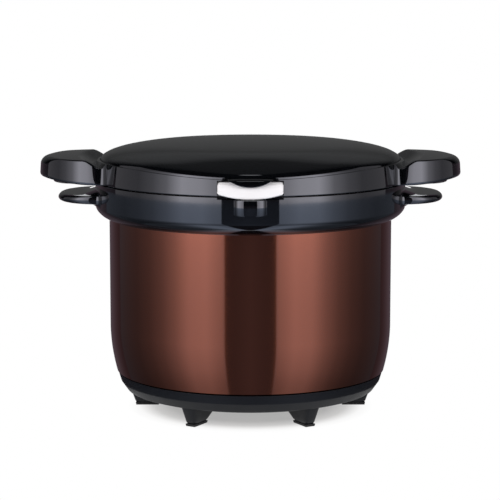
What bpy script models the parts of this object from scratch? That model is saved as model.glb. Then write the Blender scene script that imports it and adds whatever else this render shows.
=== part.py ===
"""Thermal cooker: a vacuum vessel with a hinged lid, and a cooking pot inside it.

Metres, +Z up. The origin is on the floor under the middle of the base, and the front faces -Y.
"""
import math

import bmesh
import bpy
from mathutils import Matrix, Vector

# Mesh fineness and clearances
SEGMENTS = 40
FINE_SEGMENTS = 80
POT_SEGMENTS = 32
SMALL_SEGMENTS = 24
ROD_SIDES = 12
MERGE = 0.00001
GAP = 0.0003
RUN_GAP = 0.0004
OVERRUN = 0.02

# Vacuum vessel
JACKET_RADIUS = 0.125
JACKET_WALL = 0.0006
JACKET_TOP = 0.176
SHOULDER_ROUND = 0.003
DRAW_START = 0.076
SEAM_HEIGHT = 0.0345
SEAM_RADIUS = 0.1194
SEAM_STEP = 0.0045
JACKET_FLOOR = 0.0305
JACKET_FLOOR_INSET = 0.0114
JACKET_FLOOR_RADIUS = SEAM_RADIUS - JACKET_FLOOR_INSET
VACUUM_GAP = 0.012
LINER_RADIUS = JACKET_RADIUS - VACUUM_GAP
LINER_WALL = 0.0005
MOUTH_CLEARANCE = 0.005
JACKET_MOUTH = LINER_RADIUS + MOUTH_CLEARANCE
LINER_FLANGE_INSET = 0.003
LINER_FLANGE_RADIUS = JACKET_RADIUS - LINER_FLANGE_INSET
LINER_FLOOR = 0.0495
LINER_CORNER = 0.012
FOIL_WALL = 0.0003
FOIL_MARGIN = 0.006
SEAL_CAP_RADIUS = 0.007
SEAL_CAP_HEIGHT = 0.0025

# Collar
COLLAR_OVERHANG = 0.012
COLLAR_RADIUS = JACKET_RADIUS + COLLAR_OVERHANG
COLLAR_WALL = 0.0024
COLLAR_RISE = 0.027
COLLAR_TOP = JACKET_TOP + COLLAR_RISE
COLLAR_EDGE_ROUND = 0.0007
COLLAR_ROUND_RISE = 0.0045
COLLAR_ROUND_TOP = JACKET_TOP + COLLAR_ROUND_RISE
COLLAR_LAP = 0.0072
COLLAR_BOTTOM = JACKET_TOP - COLLAR_LAP
COLLAR_ROUND_POWER = 1.55
COLLAR_LIP = 0.0018
RECESS_INSET = 0.0005
RECESS_RADIUS = JACKET_RADIUS - RECESS_INSET
LEDGE_CLEARANCE = 0.0018
LEDGE_RADIUS = LINER_RADIUS + LEDGE_CLEARANCE
LEDGE_THICKNESS = 0.0024
SEAL_THICKNESS = 0.0016
SEAL_WIDTH = 0.0063

# Lower ears of the collar
EAR_LENGTH = 0.033
EAR_REACH = COLLAR_RADIUS + EAR_LENGTH
EAR_HALF_WIDTH = 0.042
EAR_DROP = 0.01
EAR_TOP = COLLAR_TOP - EAR_DROP
EAR_THICKNESS = 0.007
EAR_BOTTOM = EAR_TOP - EAR_THICKNESS
EAR_PLAN_POWER = 2.6

# Base cover and feet
BASE_REVEAL = 0.0012
BASE_RADIUS = SEAM_RADIUS - BASE_REVEAL
BASE_WALL = 0.0024
BASE_FLOOR = 0.0155
BASE_FLOOR_INSET = 0.0142
BASE_FLOOR_RADIUS = BASE_RADIUS - BASE_FLOOR_INSET
BASE_EDGE_INSET = 0.0077
BASE_EDGE_RADIUS = BASE_RADIUS - BASE_EDGE_INSET
BASE_EDGE_HEIGHT = 0.0175
FOOT_COUNT = 6
FOOT_OVERHANG = 0.0045
FOOT_OUTER = BASE_FLOOR_RADIUS + FOOT_OVERHANG
FOOT_TIP_INSET = 0.0055
FOOT_TIP_OUTER = FOOT_OUTER - FOOT_TIP_INSET
FOOT_LENGTH = 0.0485
FOOT_INNER = FOOT_OUTER - FOOT_LENGTH
FOOT_TIP_LENGTH = 0.021
FOOT_TIP_INNER = FOOT_TIP_OUTER - FOOT_TIP_LENGTH
FOOT_HALF_WIDTH = 0.00825
FOOT_TIP_HALF_WIDTH = 0.0048
PAD_HEIGHT = 0.002
PAD_INSET = 0.0004
BASE_SCREW_INSET = 0.02
BASE_SCREW_CIRCLE = BASE_FLOOR_RADIUS - BASE_SCREW_INSET
BASE_SCREW_COUNT = 3
BASE_SCREW_RADIUS = 0.002
BASE_HEAD_RADIUS = 0.0038
BASE_HEAD_HEIGHT = 0.0026
BASE_HEAD_SINK = 0.0035
BASE_BOSS_RADIUS = 0.0065
WELD_NUT_RADIUS = 0.0048
WELD_NUT_HEIGHT = 0.005

# Lid frame
LID_RADIUS = COLLAR_RADIUS
LID_PARTING = 0.0008
LID_BOTTOM = COLLAR_TOP + LID_PARTING
LID_HEIGHT = 0.0185
LID_RIM = LID_BOTTOM + LID_HEIGHT
LID_LEAN = 0.002
LID_RIM_RADIUS = LID_RADIUS - LID_LEAN
LID_RIM_WIDTH = 0.0021
LID_FOOT_WIDTH = 0.0032
LID_WALL_INSIDE = LID_RADIUS - LID_FOOT_WIDTH
LID_WEB_RISE = 0.0031
LID_WEB_BOTTOM = LID_BOTTOM + LID_WEB_RISE
LID_WEB_THICKNESS = 0.0023
LID_WEB_TOP = LID_WEB_BOTTOM + LID_WEB_THICKNESS
LID_EDGE_ROUND = 0.0005
GROOVE_SETBACK = 0.0005
GROOVE_INNER = RECESS_RADIUS + GROOVE_SETBACK
GROOVE_WIDTH = 0.0045
GROOVE_OUTER = GROOVE_INNER + GROOVE_WIDTH
GROOVE_WALL = 0.002
VISOR_DIP = 0.005
VISOR_HALF_ANGLE = math.radians(60.0)
VISOR_START = 0.095

# Upper wing handles of the lid
WING_LENGTH = 0.049
WING_REACH = LID_RADIUS + WING_LENGTH
WING_HALF_WIDTH = 0.055
WING_RISE = 0.0037
WING_TOP = LID_RIM + WING_RISE
WING_BOTTOM = LID_BOTTOM
WING_ROOT_DEPTH = 0.0028
WING_ROOT_CUT = LID_RADIUS - WING_ROOT_DEPTH
WING_PLAN_POWER = 2.6
WING_POCKET_HEIGHT = 0.0095
WING_POCKET_MARGIN = 0.006
WING_POCKET_SETBACK = 0.004
WING_POCKET_START = LID_RADIUS + WING_POCKET_SETBACK
WING_COVER_THICKNESS = 0.0022

# Dome, foam and inner cover
DOME_RISE = 0.0167
DOME_TOP = LID_RIM + DOME_RISE
DOME_RADIUS = LID_RIM_RADIUS - LID_RIM_WIDTH - RUN_GAP
DOME_WALL = 0.0024
DOME_EDGE_RISE = 0.0012
INNER_COVER_RISE = 0.0144
INNER_COVER_TOP = LID_WEB_TOP + INNER_COVER_RISE
INNER_COVER_WALL = 0.0016
INNER_FLANGE_LAP = 0.0008
INNER_FLANGE_RADIUS = GROOVE_INNER + INNER_FLANGE_LAP
INNER_DOME_INSET = 0.008
INNER_DOME_RADIUS = GROOVE_INNER - INNER_DOME_INSET
FOAM_INSET = 0.002
FOAM_RADIUS = INNER_DOME_RADIUS - FOAM_INSET
GASKET_DROP = 0.0005
LID_SCREW_INSET = 0.0035
LID_SCREW_CIRCLE = GROOVE_INNER - LID_SCREW_INSET
LID_SCREW_COUNT = 4
LID_SCREW_RADIUS = 0.0014
LID_SCREW_HEAD_RADIUS = 0.0026
LID_SCREW_HEAD_HEIGHT = 0.0018
LID_SCREW_BITE = 0.0014

# Latch lever, its pin and spring, the thumb lobe and the keeper
LEVER_HALF_WIDTH = 0.027
LEVER_RISE = 0.0116
LEVER_TOP = LID_BOTTOM + LEVER_RISE
LEVER_DROP = 0.0021
LEVER_BOTTOM = LID_BOTTOM - LEVER_DROP
LEVER_PROUD = 0.0024
LEVER_FRONT = LID_RADIUS + LEVER_PROUD
LEVER_TOP_INSET = 0.0044
LEVER_TOP_RADIUS = LID_RADIUS - LEVER_TOP_INSET
LEVER_TOP_DEPTH = 0.001
LEVER_BACK = LEVER_TOP_RADIUS - LEVER_TOP_DEPTH
LATCH_AXIS_INSET = 0.0075
LATCH_AXIS_RADIUS = LID_RADIUS - LATCH_AXIS_INSET
LATCH_AXIS_RISE = 0.0077
LATCH_AXIS_HEIGHT = LID_BOTTOM + LATCH_AXIS_RISE
LATCH_PIN_RADIUS = 0.0015
LATCH_PIN_OVERHANG = 0.0035
LATCH_PIN_REACH = LEVER_HALF_WIDTH + LATCH_PIN_OVERHANG
LATCH_BARREL_RADIUS = 0.003
LATCH_BOSS_WIDTH = 0.0044
LATCH_BOSS_INSET = 0.0051
LATCH_BOSS_REACH = LID_RADIUS - LATCH_BOSS_INSET
LATCH_BOSS_DEPTH = 0.005
LATCH_BOSS_BACK = LATCH_BOSS_REACH - LATCH_BOSS_DEPTH
LATCH_BOSS_RISE = 0.0035
LATCH_BOSS_TOP = LATCH_AXIS_HEIGHT + LATCH_BOSS_RISE
NOTCH_HEADROOM = 0.0012
NOTCH_TOP = LEVER_TOP + NOTCH_HEADROOM
NOTCH_DEPTH = 0.0072
NOTCH_BACK = LID_RADIUS - NOTCH_DEPTH
NOTCH_FLOOR_DROP = 0.0033
NOTCH_FLOOR = LATCH_AXIS_HEIGHT - NOTCH_FLOOR_DROP
SPRING_RADIUS = 0.0023
SPRING_WIRE = 0.00035
SPRING_TURNS = 4
SPRING_HALF_LENGTH = 0.005
SPRING_POINTS_A_TURN = 8
LOBE_HALF_WIDTH = 0.019
LOBE_DROP = 0.0065
LOBE_BOTTOM = NOTCH_TOP - LOBE_DROP
LOBE_PROUD = 0.0023
LOBE_FRONT = LID_RADIUS + LOBE_PROUD
LOBE_THICKNESS = 0.0026
LOBE_BACK = LOBE_FRONT - LOBE_THICKNESS
LOBE_RISE = 0.0024
LOBE_TOP = NOTCH_TOP + LOBE_RISE
LOBE_BITE = 0.001
LOBE_ROOT = DOME_RADIUS - LOBE_BITE
TONGUE_HALF_WIDTH = 0.010
TONGUE_INSET = 0.0065
TONGUE_BACK = COLLAR_RADIUS - TONGUE_INSET
TONGUE_RISE = 0.0042
TONGUE_TOP = LID_BOTTOM + TONGUE_RISE
TONGUE_LIP_REACH = 0.0028
TONGUE_LIP = TONGUE_BACK + TONGUE_LIP_REACH
TONGUE_THICKNESS = 0.0017
TONGUE_LIP_HEIGHT = 0.0019
NOSE_CLEARANCE = 0.0003
STRAP_THICKNESS = 0.0014
TAB_HALF_WIDTH = 0.0135
TAB_PROUD = 0.0058
TAB_FRONT = COLLAR_RADIUS + TAB_PROUD
TAB_DROP = 0.0137
TAB_BOTTOM = LEVER_BOTTOM - TAB_DROP

# Rear hinge
HINGE_AXIS_SETBACK = 0.006
HINGE_AXIS_Y = COLLAR_RADIUS + HINGE_AXIS_SETBACK
HINGE_AXIS_RISE = 0.001
HINGE_AXIS_Z = COLLAR_TOP + HINGE_AXIS_RISE
KNUCKLE_RADIUS = 0.0045
KNUCKLE_BORE = 0.0023
HINGE_PIN_RADIUS = 0.002
BRACKET_KNUCKLE_START = 0.019
KNUCKLE_CLEARANCE = 0.0008
LID_KNUCKLE_REACH = BRACKET_KNUCKLE_START - KNUCKLE_CLEARANCE
BRACKET_HALF_WIDTH = 0.030
HINGE_PIN_OVERHANG = 0.0015
HINGE_PIN_REACH = BRACKET_HALF_WIDTH + HINGE_PIN_OVERHANG
BRACKET_THICKNESS = 0.002
BRACKET_DROP = 0.0046
BRACKET_TOP = COLLAR_TOP - BRACKET_DROP
BRACKET_HEIGHT = 0.0154
BRACKET_BOTTOM = BRACKET_TOP - BRACKET_HEIGHT
BRACKET_LUG_DROP = 0.014
BRACKET_LUG_BOTTOM = HINGE_AXIS_Z - BRACKET_LUG_DROP
HINGE_ROOT_DEPTH = 0.0018
HINGE_ROOT = COLLAR_RADIUS - HINGE_ROOT_DEPTH
HINGE_WEB_TOP = LID_WEB_TOP - GAP
HINGE_SCREW_X = 0.010
HINGE_SCREW_RISE = 0.007
HINGE_SCREW_Z = BRACKET_BOTTOM + HINGE_SCREW_RISE
HINGE_SCREW_RADIUS = 0.0018
HINGE_HEAD_RADIUS = 0.0036
HINGE_HEAD_HEIGHT = 0.0022
HINGE_SCREW_LENGTH = 0.0062

# Pot
POT_CLEARANCE = 0.003
POT_RADIUS = LINER_RADIUS - POT_CLEARANCE
POT_WALL = 0.001
POT_RIM_RISE = 0.016
POT_RIM = JACKET_TOP + POT_RIM_RISE
POT_FLARE = 0.0022
POT_FLOOR_RISE = 0.0085
POT_FLOOR = LINER_FLOOR + POT_FLOOR_RISE
POT_CORNER = 0.012
DISC_INSET = 0.02
DISC_RADIUS = POT_RADIUS - DISC_INSET
DISC_THICKNESS = 0.0052
DISC_EDGE_ROUND = 0.0015
POT_BRACKET_HALF_WIDTH = 0.018
POT_BRACKET_THICKNESS = 0.0065
POT_BRACKET_RADIUS = POT_RADIUS + GAP + POT_BRACKET_THICKNESS
POT_BRACKET_HEIGHT = 0.006
HANDLE_WIRE_RADIUS = 0.002
HANDLE_CLEARANCE = 0.0023
HANDLE_ARC_RADIUS = RECESS_RADIUS - HANDLE_WIRE_RADIUS - HANDLE_CLEARANCE
HANDLE_ARC_HALF_ANGLE = math.radians(13.0)
HANDLE_AXIS_INSET = 0.00075
HANDLE_AXIS_X = POT_BRACKET_RADIUS - POT_BRACKET_THICKNESS / 2.0 - HANDLE_AXIS_INSET
HANDLE_BORE_DEPTH = 0.008
HANDLE_STRAIGHT = 0.004
RIVET_SPACING = 0.0055
RIVET_RADIUS = 0.0015
RIVET_HEAD_RADIUS = 0.0032
RIVET_HEAD_HEIGHT = 0.0014

# Pot lid
GLASS_RISE = 0.014
GLASS_TOP = POT_RIM + GLASS_RISE
GLASS_OVERHANG = 0.0017
GLASS_RADIUS = POT_RADIUS + GLASS_OVERHANG
GLASS_THICKNESS = 0.0035
GLASS_CROWN = 0.0087
GLASS_HOLE = 0.0032
BAND_WALL = 0.0007
BAND_SKIRT = 0.004
BAND_SKIRT_INSET = 0.0024
BAND_SKIRT_RADIUS = POT_RADIUS - BAND_SKIRT_INSET
BAND_UPSTAND = 0.003
KNOB_RISE = 0.0125
KNOB_TOP = GLASS_TOP + KNOB_RISE
KNOB_RADIUS = 0.017
KNOB_NECK_RADIUS = 0.008
KNOB_SCREW_RADIUS = 0.0019
KNOB_SCREW_HEAD_RADIUS = 0.0045
KNOB_SCREW_HEAD_HEIGHT = 0.002
KNOB_SCREW_REACH = 0.0075
KNOB_WASHER_RADIUS = 0.008
KNOB_WASHER_THICKNESS = 0.0012

# Heights that follow from the stack at the mouth
FLANGE_TOP = JACKET_TOP + GAP + LINER_WALL
LEDGE_BOTTOM = FLANGE_TOP + GAP + SEAL_THICKNESS + GAP
LEDGE_TOP = LEDGE_BOTTOM + LEDGE_THICKNESS

# Inner radius of the lever's foot, which hangs in the collar's notch
LEVER_FOOT = COLLAR_RADIUS - COLLAR_WALL + GAP * 3.0

# Shapes as shares of the sizes that they follow
DOME_PROFILE_SHARES = ((0.0, 1.0), (0.25, 0.98), (0.5, 0.905), (0.7, 0.81), (0.84, 0.65),
                       (0.93, 0.48), (0.98, 0.27))
WING_PROFILE_SHARES = ((0.0, 0.6), (0.12, 0.62), (0.2, 0.72), (0.3, 0.88), (0.42, 0.97), (0.6, 1.0),
                       (0.78, 0.97), (0.9, 0.86), (0.97, 0.67), (1.0, 0.42), (0.965, 0.2),
                       (0.89, 0.06), (0.78, 0.0), (0.0, 0.0))
EAR_PROFILE_SHARES = ((0.0, 1.4), (0.1, 1.25), (0.26, 1.05), (0.4, 1.0), (0.8, 0.97), (0.93, 0.81),
                      (1.0, 0.52), (0.95, 0.2), (0.85, 0.0), (0.4, -0.03), (0.26, -0.08),
                      (0.1, -0.25), (0.0, -0.5))
LEVER_FRONT_SHARES = ((0.0, 1.0), (0.09, 0.86), (0.265, 0.68), (0.382, 0.555), (0.62, 0.372),
                      (0.926, 0.153), (1.0, 0.066), (0.93, 0.0))
NOSE_SHARES = (0.168, 0.285)
SEAL_CAP_FLAT_SHARE = 0.8
TAB_ROUND_POWER = 0.8
INNER_COVER_SHARES = ((0.0, 0.0), (0.5, 0.12), (0.85, 0.5))
FOAM_RADIUS_SHARES = (0.0, 0.45, 0.75, 1.0)
FOAM_FOOT_SHARE = 0.16
GLASS_PROFILE_SHARES = ((0.36, 0.1), (0.72, 0.43), (0.9, 0.76), (1.0, 1.0))
KNOB_PROFILE_SHARES = ((0.0, 1.0), (0.7, 0.975), (0.94, 0.86), (1.0, 0.66), (0.9, 0.46), (0.55, 0.33))


def clear_scene():
    """Removes every object of the open scene."""
    for obj in list(bpy.data.objects):
        bpy.data.objects.remove(obj, do_unlink=True)


def make_collection(name):
    """Returns a new collection in the scene."""
    collection = bpy.data.collections.new(name)
    bpy.context.scene.collection.children.link(collection)
    return collection


clear_scene()
PARTS = make_collection("thermal_cooker")
CUTTERS = make_collection("cutters")


def to_linear(channel):
    """Converts one sRGB channel to a linear value."""
    if channel <= 0.04045:
        return channel / 12.92
    return ((channel + 0.055) / 1.055) ** 2.4


def make_material(name, colour, roughness, metallic):
    """Returns a material from an sRGB hex colour, a roughness and a metallic value."""
    material = bpy.data.materials.new(name)
    material.use_nodes = True
    shader = material.node_tree.nodes["Principled BSDF"]
    channels = [to_linear(int(colour[i:i + 2], 16) / 255.0) for i in (1, 3, 5)]
    shader.inputs["Base Color"].default_value = (*channels, 1.0)
    shader.inputs["Roughness"].default_value = roughness
    shader.inputs["Metallic"].default_value = metallic
    return material


def add_object(name, mesh, material=None):
    """Puts a mesh in the parts collection under its node's name."""
    obj = bpy.data.objects.new(name, mesh)
    PARTS.objects.link(obj)
    if material is not None:
        mesh.materials.append(material)
    return obj


def as_cutter(obj):
    """Moves an object to the cutters, where it is only a tool for its neighbour."""
    PARTS.objects.unlink(obj)
    CUTTERS.objects.link(obj)
    obj.hide_render = True
    obj.display_type = "WIRE"
    return obj


def combine(obj, tool, operation):
    """Adds a Boolean with another object, which becomes a cutter."""
    if tool.name not in CUTTERS.objects:
        as_cutter(tool)
    modifier = obj.modifiers.new(tool.name, "BOOLEAN")
    modifier.operation = operation
    modifier.solver = "EXACT"
    modifier.object = tool
    return obj


def cut(obj, *tools):
    """Cuts tools out of an object."""
    for tool in tools:
        combine(obj, tool, "DIFFERENCE")
    return obj


def join(obj, *tools):
    """Unites tools with an object."""
    for tool in tools:
        combine(obj, tool, "UNION")
    return obj


def keep_inside(obj, tool):
    """Keeps what an object shares with a tool."""
    return combine(obj, tool, "INTERSECT")


def freeze(obj):
    """Replaces an object's mesh by its modified form."""
    graph = bpy.context.evaluated_depsgraph_get()
    mesh = bpy.data.meshes.new_from_object(obj.evaluated_get(graph))
    obj.modifiers.clear()
    obj.data = mesh
    return obj


def turned(name, points, material=None, closed=True, steps=SEGMENTS, wall=0.0):
    """Turns a profile of (radius, height) points about the Z axis, with a wall if it is open."""
    mesh = bpy.data.meshes.new(name)
    edges = [(i, i + 1) for i in range(len(points) - 1)]
    if closed:
        edges.append((len(points) - 1, 0))
    mesh.from_pydata([(radius, 0.0, height) for radius, height in points], edges, [])
    obj = add_object(name, mesh, material)
    screw = obj.modifiers.new("Turn", "SCREW")
    screw.steps = steps
    screw.render_steps = steps
    screw.use_merge_vertices = True
    screw.merge_threshold = MERGE
    if wall:
        solidify = obj.modifiers.new("Wall", "SOLIDIFY")
        solidify.thickness = wall
        solidify.offset = -1.0
        solidify.use_even_offset = True
    return obj


def mesh_object(name, shape, material=None, smooth=False):
    """Makes an object from a bmesh and frees it."""
    mesh = bpy.data.meshes.new(name)
    shape.to_mesh(mesh)
    shape.free()
    if smooth:
        mesh.shade_smooth()
        mesh.set_sharp_from_angle(angle=math.radians(40.0))
    return add_object(name, mesh, material)


def box(name, low, high, material=None):
    """Makes a box between two corners."""
    shape = bmesh.new()
    bmesh.ops.create_cube(shape, size=1.0)
    low = Vector(low)
    high = Vector(high)
    bmesh.ops.scale(shape, vec=high - low, verts=shape.verts)
    bmesh.ops.translate(shape, vec=(low + high) / 2.0, verts=shape.verts)
    return mesh_object(name, shape, material)


def rod(name, radius, start, end, material=None, sides=ROD_SIDES):
    """Makes a round rod from one point to another."""
    start = Vector(start)
    end = Vector(end)
    along = end - start
    turn = along.to_track_quat("Z", "Y").to_matrix().to_4x4()
    place = Matrix.Translation((start + end) / 2.0) @ turn
    shape = bmesh.new()
    bmesh.ops.create_cone(shape, cap_ends=True, segments=sides, radius1=radius, radius2=radius,
                          depth=along.length, matrix=place)
    return mesh_object(name, shape, material, smooth=True)


def curve_to_mesh(name, curve, matrix, material=None):
    """Makes a welded mesh object from a curve and removes the curve."""
    source = bpy.data.objects.new(name + "_curve", curve)
    PARTS.objects.link(source)
    graph = bpy.context.evaluated_depsgraph_get()
    mesh = bpy.data.meshes.new_from_object(source.evaluated_get(graph))
    bpy.data.objects.remove(source, do_unlink=True)
    shape = bmesh.new()
    shape.from_mesh(mesh)
    bmesh.ops.remove_doubles(shape, verts=shape.verts, dist=MERGE)
    bmesh.ops.transform(shape, matrix=matrix, verts=shape.verts)
    bmesh.ops.recalc_face_normals(shape, faces=shape.faces)
    return mesh_object(name, shape, material, smooth=True)


def slab(name, outline, low, high, upright=False, material=None):
    """Extrudes a flat outline, in plan from low to high Z, or upright (XZ) from low to high Y."""
    curve = bpy.data.curves.new(name, "CURVE")
    curve.dimensions = "2D"
    curve.fill_mode = "BOTH"
    curve.extrude = (high - low) / 2.0
    spline = curve.splines.new("POLY")
    spline.points.add(len(outline) - 1)
    for point, (u, v) in zip(spline.points, outline):
        point.co = (u, v, 0.0, 1.0)
    spline.use_cyclic_u = True
    middle = (low + high) / 2.0
    if upright:
        matrix = Matrix.Translation((0.0, middle, 0.0)) @ Matrix.Rotation(math.pi / 2.0, 4, "X")
    else:
        matrix = Matrix.Translation((0.0, 0.0, middle))
    return curve_to_mesh(name, curve, matrix, material)


def wire(name, points, radius, material, resolution=1):
    """Makes a capped wire along points."""
    curve = bpy.data.curves.new(name, "CURVE")
    curve.dimensions = "3D"
    curve.bevel_depth = radius
    curve.bevel_resolution = resolution
    curve.use_fill_caps = True
    spline = curve.splines.new("POLY")
    spline.points.add(len(points) - 1)
    for point, place in zip(spline.points, points):
        point.co = (*place, 1.0)
    return curve_to_mesh(name, curve, Matrix.Identity(4), material)


def polar(radius, angle, height):
    """A point at an angle counted from the front, seen from above."""
    return Vector((radius * math.sin(angle), -radius * math.cos(angle), height))


def half_superellipse(start, reach, half_width, power, count=14):
    """Plan outline that is straight at its root and round at its outer end."""
    points = [(start, -half_width)]
    for i in range(1, count):
        angle = math.pi * (i / count - 0.5)
        along = abs(math.cos(angle)) ** (2.0 / power)
        across = math.copysign(abs(math.sin(angle)) ** (2.0 / power), angle)
        points.append((start + (reach - start) * along, half_width * across))
    points.append((start, half_width))
    return points


def share_outline(shares, start, reach, bottom, top):
    """Upright outline from shares of a reach and of a height."""
    return [(start + (reach - start) * u, bottom + (top - bottom) * v) for u, v in shares]


def visor_dip(x, y, radial, vertical):
    """How far the lid's rim dips at its front and back, at a plan place."""
    angle = math.atan2(abs(x), abs(y))
    if angle >= VISOR_HALF_ANGLE:
        return 0.0
    return VISOR_DIP * math.cos(math.pi / 2.0 * angle / VISOR_HALF_ANGLE) ** 2 * radial * vertical


def smooth_step(value):
    """Eases a share from 0 to 1."""
    value = min(max(value, 0.0), 1.0)
    return value * value * (3.0 - 2.0 * value)


def dip_rim(obj):
    """Lowers the vertices near the lid's rim by the visor's dip."""
    for vertex in obj.data.vertices:
        x, y, z = vertex.co
        radial = smooth_step((math.hypot(x, y) - VISOR_START) / (DOME_RADIUS - VISOR_START))
        vertical = min(max((z - LID_WEB_TOP) / (LID_RIM - LID_WEB_TOP), 0.0), 1.0)
        vertex.co.z = z - visor_dip(x, y, radial, vertical)
    return obj


# Materials
BROWN_STEEL = make_material("brown_lacquered_steel", "#7a463b", 0.28, 0.9)
BRUSHED_STEEL = make_material("drawn_stainless_steel", "#b9b9b6", 0.3, 1.0)
FOIL = make_material("copper_foil", "#b4795a", 0.25, 1.0)
ALUMINIUM = make_material("pressed_aluminium", "#a9abad", 0.4, 1.0)
GLOSS_BLACK = make_material("gloss_black_plastic", "#121317", 0.12, 0.0)
MATTE_BLACK = make_material("matte_black_plastic", "#222428", 0.55, 0.0)
WHITE_PLASTIC = make_material("white_plastic", "#f8f8f6", 0.35, 0.0)
GREY_PLASTIC = make_material("grey_plastic", "#8d8f90", 0.5, 0.0)
RUBBER = make_material("black_rubber", "#1c1c1d", 0.8, 0.0)
SILICONE = make_material("grey_silicone", "#9a9c9d", 0.6, 0.0)
FOAM = make_material("white_foam", "#e9e6dc", 0.9, 0.0)
GLASS = make_material("tempered_glass", "#dfe8e6", 0.05, 0.0)


def jacket_profile():
    """Outer side of the jacket, from its mouth down to the middle of its floor."""
    points = [(JACKET_MOUTH, JACKET_TOP), (JACKET_RADIUS - SHOULDER_ROUND, JACKET_TOP)]
    for i in (1, 2):
        angle = math.pi / 2.0 * i / 2.0
        points.append((JACKET_RADIUS - SHOULDER_ROUND * (1.0 - math.sin(angle)),
                       JACKET_TOP - SHOULDER_ROUND * (1.0 - math.cos(angle))))
    count = 5
    for i in range(count + 1):
        share = i / count
        points.append((JACKET_RADIUS - (JACKET_RADIUS - SEAM_RADIUS) * share ** 2,
                       DRAW_START - (DRAW_START - SEAM_HEIGHT) * share))
    points.append((SEAM_RADIUS - SEAM_STEP, SEAM_HEIGHT - JACKET_WALL))
    points.append((JACKET_FLOOR_RADIUS, JACKET_FLOOR))
    points.append((0.0, JACKET_FLOOR))
    return points


def make_vessel():
    """The vacuum vessel: jacket, liner, foil and the cap over the exhaust hole."""
    turned("outer_jacket", jacket_profile(), BROWN_STEEL, closed=False, wall=JACKET_WALL)
    outside = LINER_RADIUS + LINER_WALL
    flange = JACKET_TOP + GAP
    corner = LINER_CORNER * (1.0 - math.sqrt(0.5))
    liner = [(LINER_FLANGE_RADIUS, flange), (outside + SHOULDER_ROUND / 2.0, flange),
             (outside, flange - SHOULDER_ROUND / 2.0), (outside, LINER_FLOOR + LINER_CORNER),
             (outside - corner, LINER_FLOOR + corner), (outside - LINER_CORNER, LINER_FLOOR),
             (0.0, LINER_FLOOR)]
    turned("inner_liner", liner, BRUSHED_STEEL, closed=False, steps=POT_SEGMENTS, wall=LINER_WALL)
    low = LINER_FLOOR + LINER_CORNER
    high = flange - FOIL_MARGIN
    inside = outside + GAP
    foil = [(inside + FOIL_WALL, high), (inside + FOIL_WALL, low), (inside, low), (inside, high)]
    turned("radiation_foil", foil, FOIL, steps=POT_SEGMENTS)
    top = JACKET_FLOOR - GAP
    cap = [(0.0, top), (SEAL_CAP_RADIUS, top), (SEAL_CAP_RADIUS, top - SEAL_CAP_HEIGHT / 2.0),
           (SEAL_CAP_RADIUS * SEAL_CAP_FLAT_SHARE, top - SEAL_CAP_HEIGHT), (0.0, top - SEAL_CAP_HEIGHT)]
    turned("vacuum_seal_cap", cap, BRUSHED_STEEL, closed=False, steps=SMALL_SEGMENTS)


def collar_profile():
    """Section of the collar: the outer skin, the land on top and the ledge inside."""
    points = [(COLLAR_RADIUS - COLLAR_EDGE_ROUND, COLLAR_TOP),
              (COLLAR_RADIUS, COLLAR_TOP - COLLAR_EDGE_ROUND)]
    inner = JACKET_RADIUS + RUN_GAP
    out = COLLAR_RADIUS - inner
    fall = COLLAR_ROUND_TOP - COLLAR_BOTTOM
    count = 5
    for i in range(count + 1):
        angle = math.pi / 2.0 * i / count
        points.append((inner + out * math.cos(angle) ** (2.0 / COLLAR_ROUND_POWER),
                       COLLAR_ROUND_TOP - fall * math.sin(angle) ** (2.0 / COLLAR_ROUND_POWER)))
    skin = COLLAR_RADIUS - COLLAR_WALL
    points.append((inner, COLLAR_BOTTOM + COLLAR_LIP))
    points.append(((inner + skin) / 2.0 + COLLAR_LIP, COLLAR_BOTTOM + fall / 2.0 + COLLAR_LIP / 2.0))
    points.append((skin, COLLAR_ROUND_TOP + COLLAR_LIP))
    points.append((skin, COLLAR_TOP - COLLAR_WALL))
    points.append((RECESS_RADIUS + COLLAR_WALL, COLLAR_TOP - COLLAR_WALL))
    points.append((RECESS_RADIUS + COLLAR_WALL, LEDGE_BOTTOM))
    points.append((LEDGE_RADIUS, LEDGE_BOTTOM))
    points.append((LEDGE_RADIUS, LEDGE_TOP))
    points.append((RECESS_RADIUS, LEDGE_TOP))
    points.append((RECESS_RADIUS, COLLAR_TOP))
    return points


def side_grip(name, shares, reach, bottom, top, half_width, power, root_cut):
    """A pair of D-shaped grips, left and right, cut to follow the ring that carries them."""
    start = root_cut - COLLAR_WALL * 2.0
    inner = math.sqrt(root_cut ** 2 - half_width ** 2) - COLLAR_WALL * 2.0
    upright = share_outline(shares, start, reach, bottom, top)
    upright = [(inner, upright[0][1])] + upright + [(inner, upright[-1][1])]
    grip = slab(name, upright, -half_width - OVERRUN, half_width + OVERRUN, upright=True)
    plan = half_superellipse(start, reach, half_width, power)
    plan = [(inner, -half_width)] + plan + [(inner, half_width)]
    keep_inside(grip, slab(name + "_plan", plan, bottom - OVERRUN, top + OVERRUN))
    ring = [(0.0, top + OVERRUN * 2.0), (root_cut, top + OVERRUN * 2.0),
            (root_cut, bottom - OVERRUN * 2.0), (0.0, bottom - OVERRUN * 2.0)]
    cut(grip, turned(name + "_root", ring, closed=False))
    mirror = grip.modifiers.new("Other side", "MIRROR")
    mirror.use_axis = (True, False, False)
    mirror.merge_threshold = MERGE
    return grip


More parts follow.
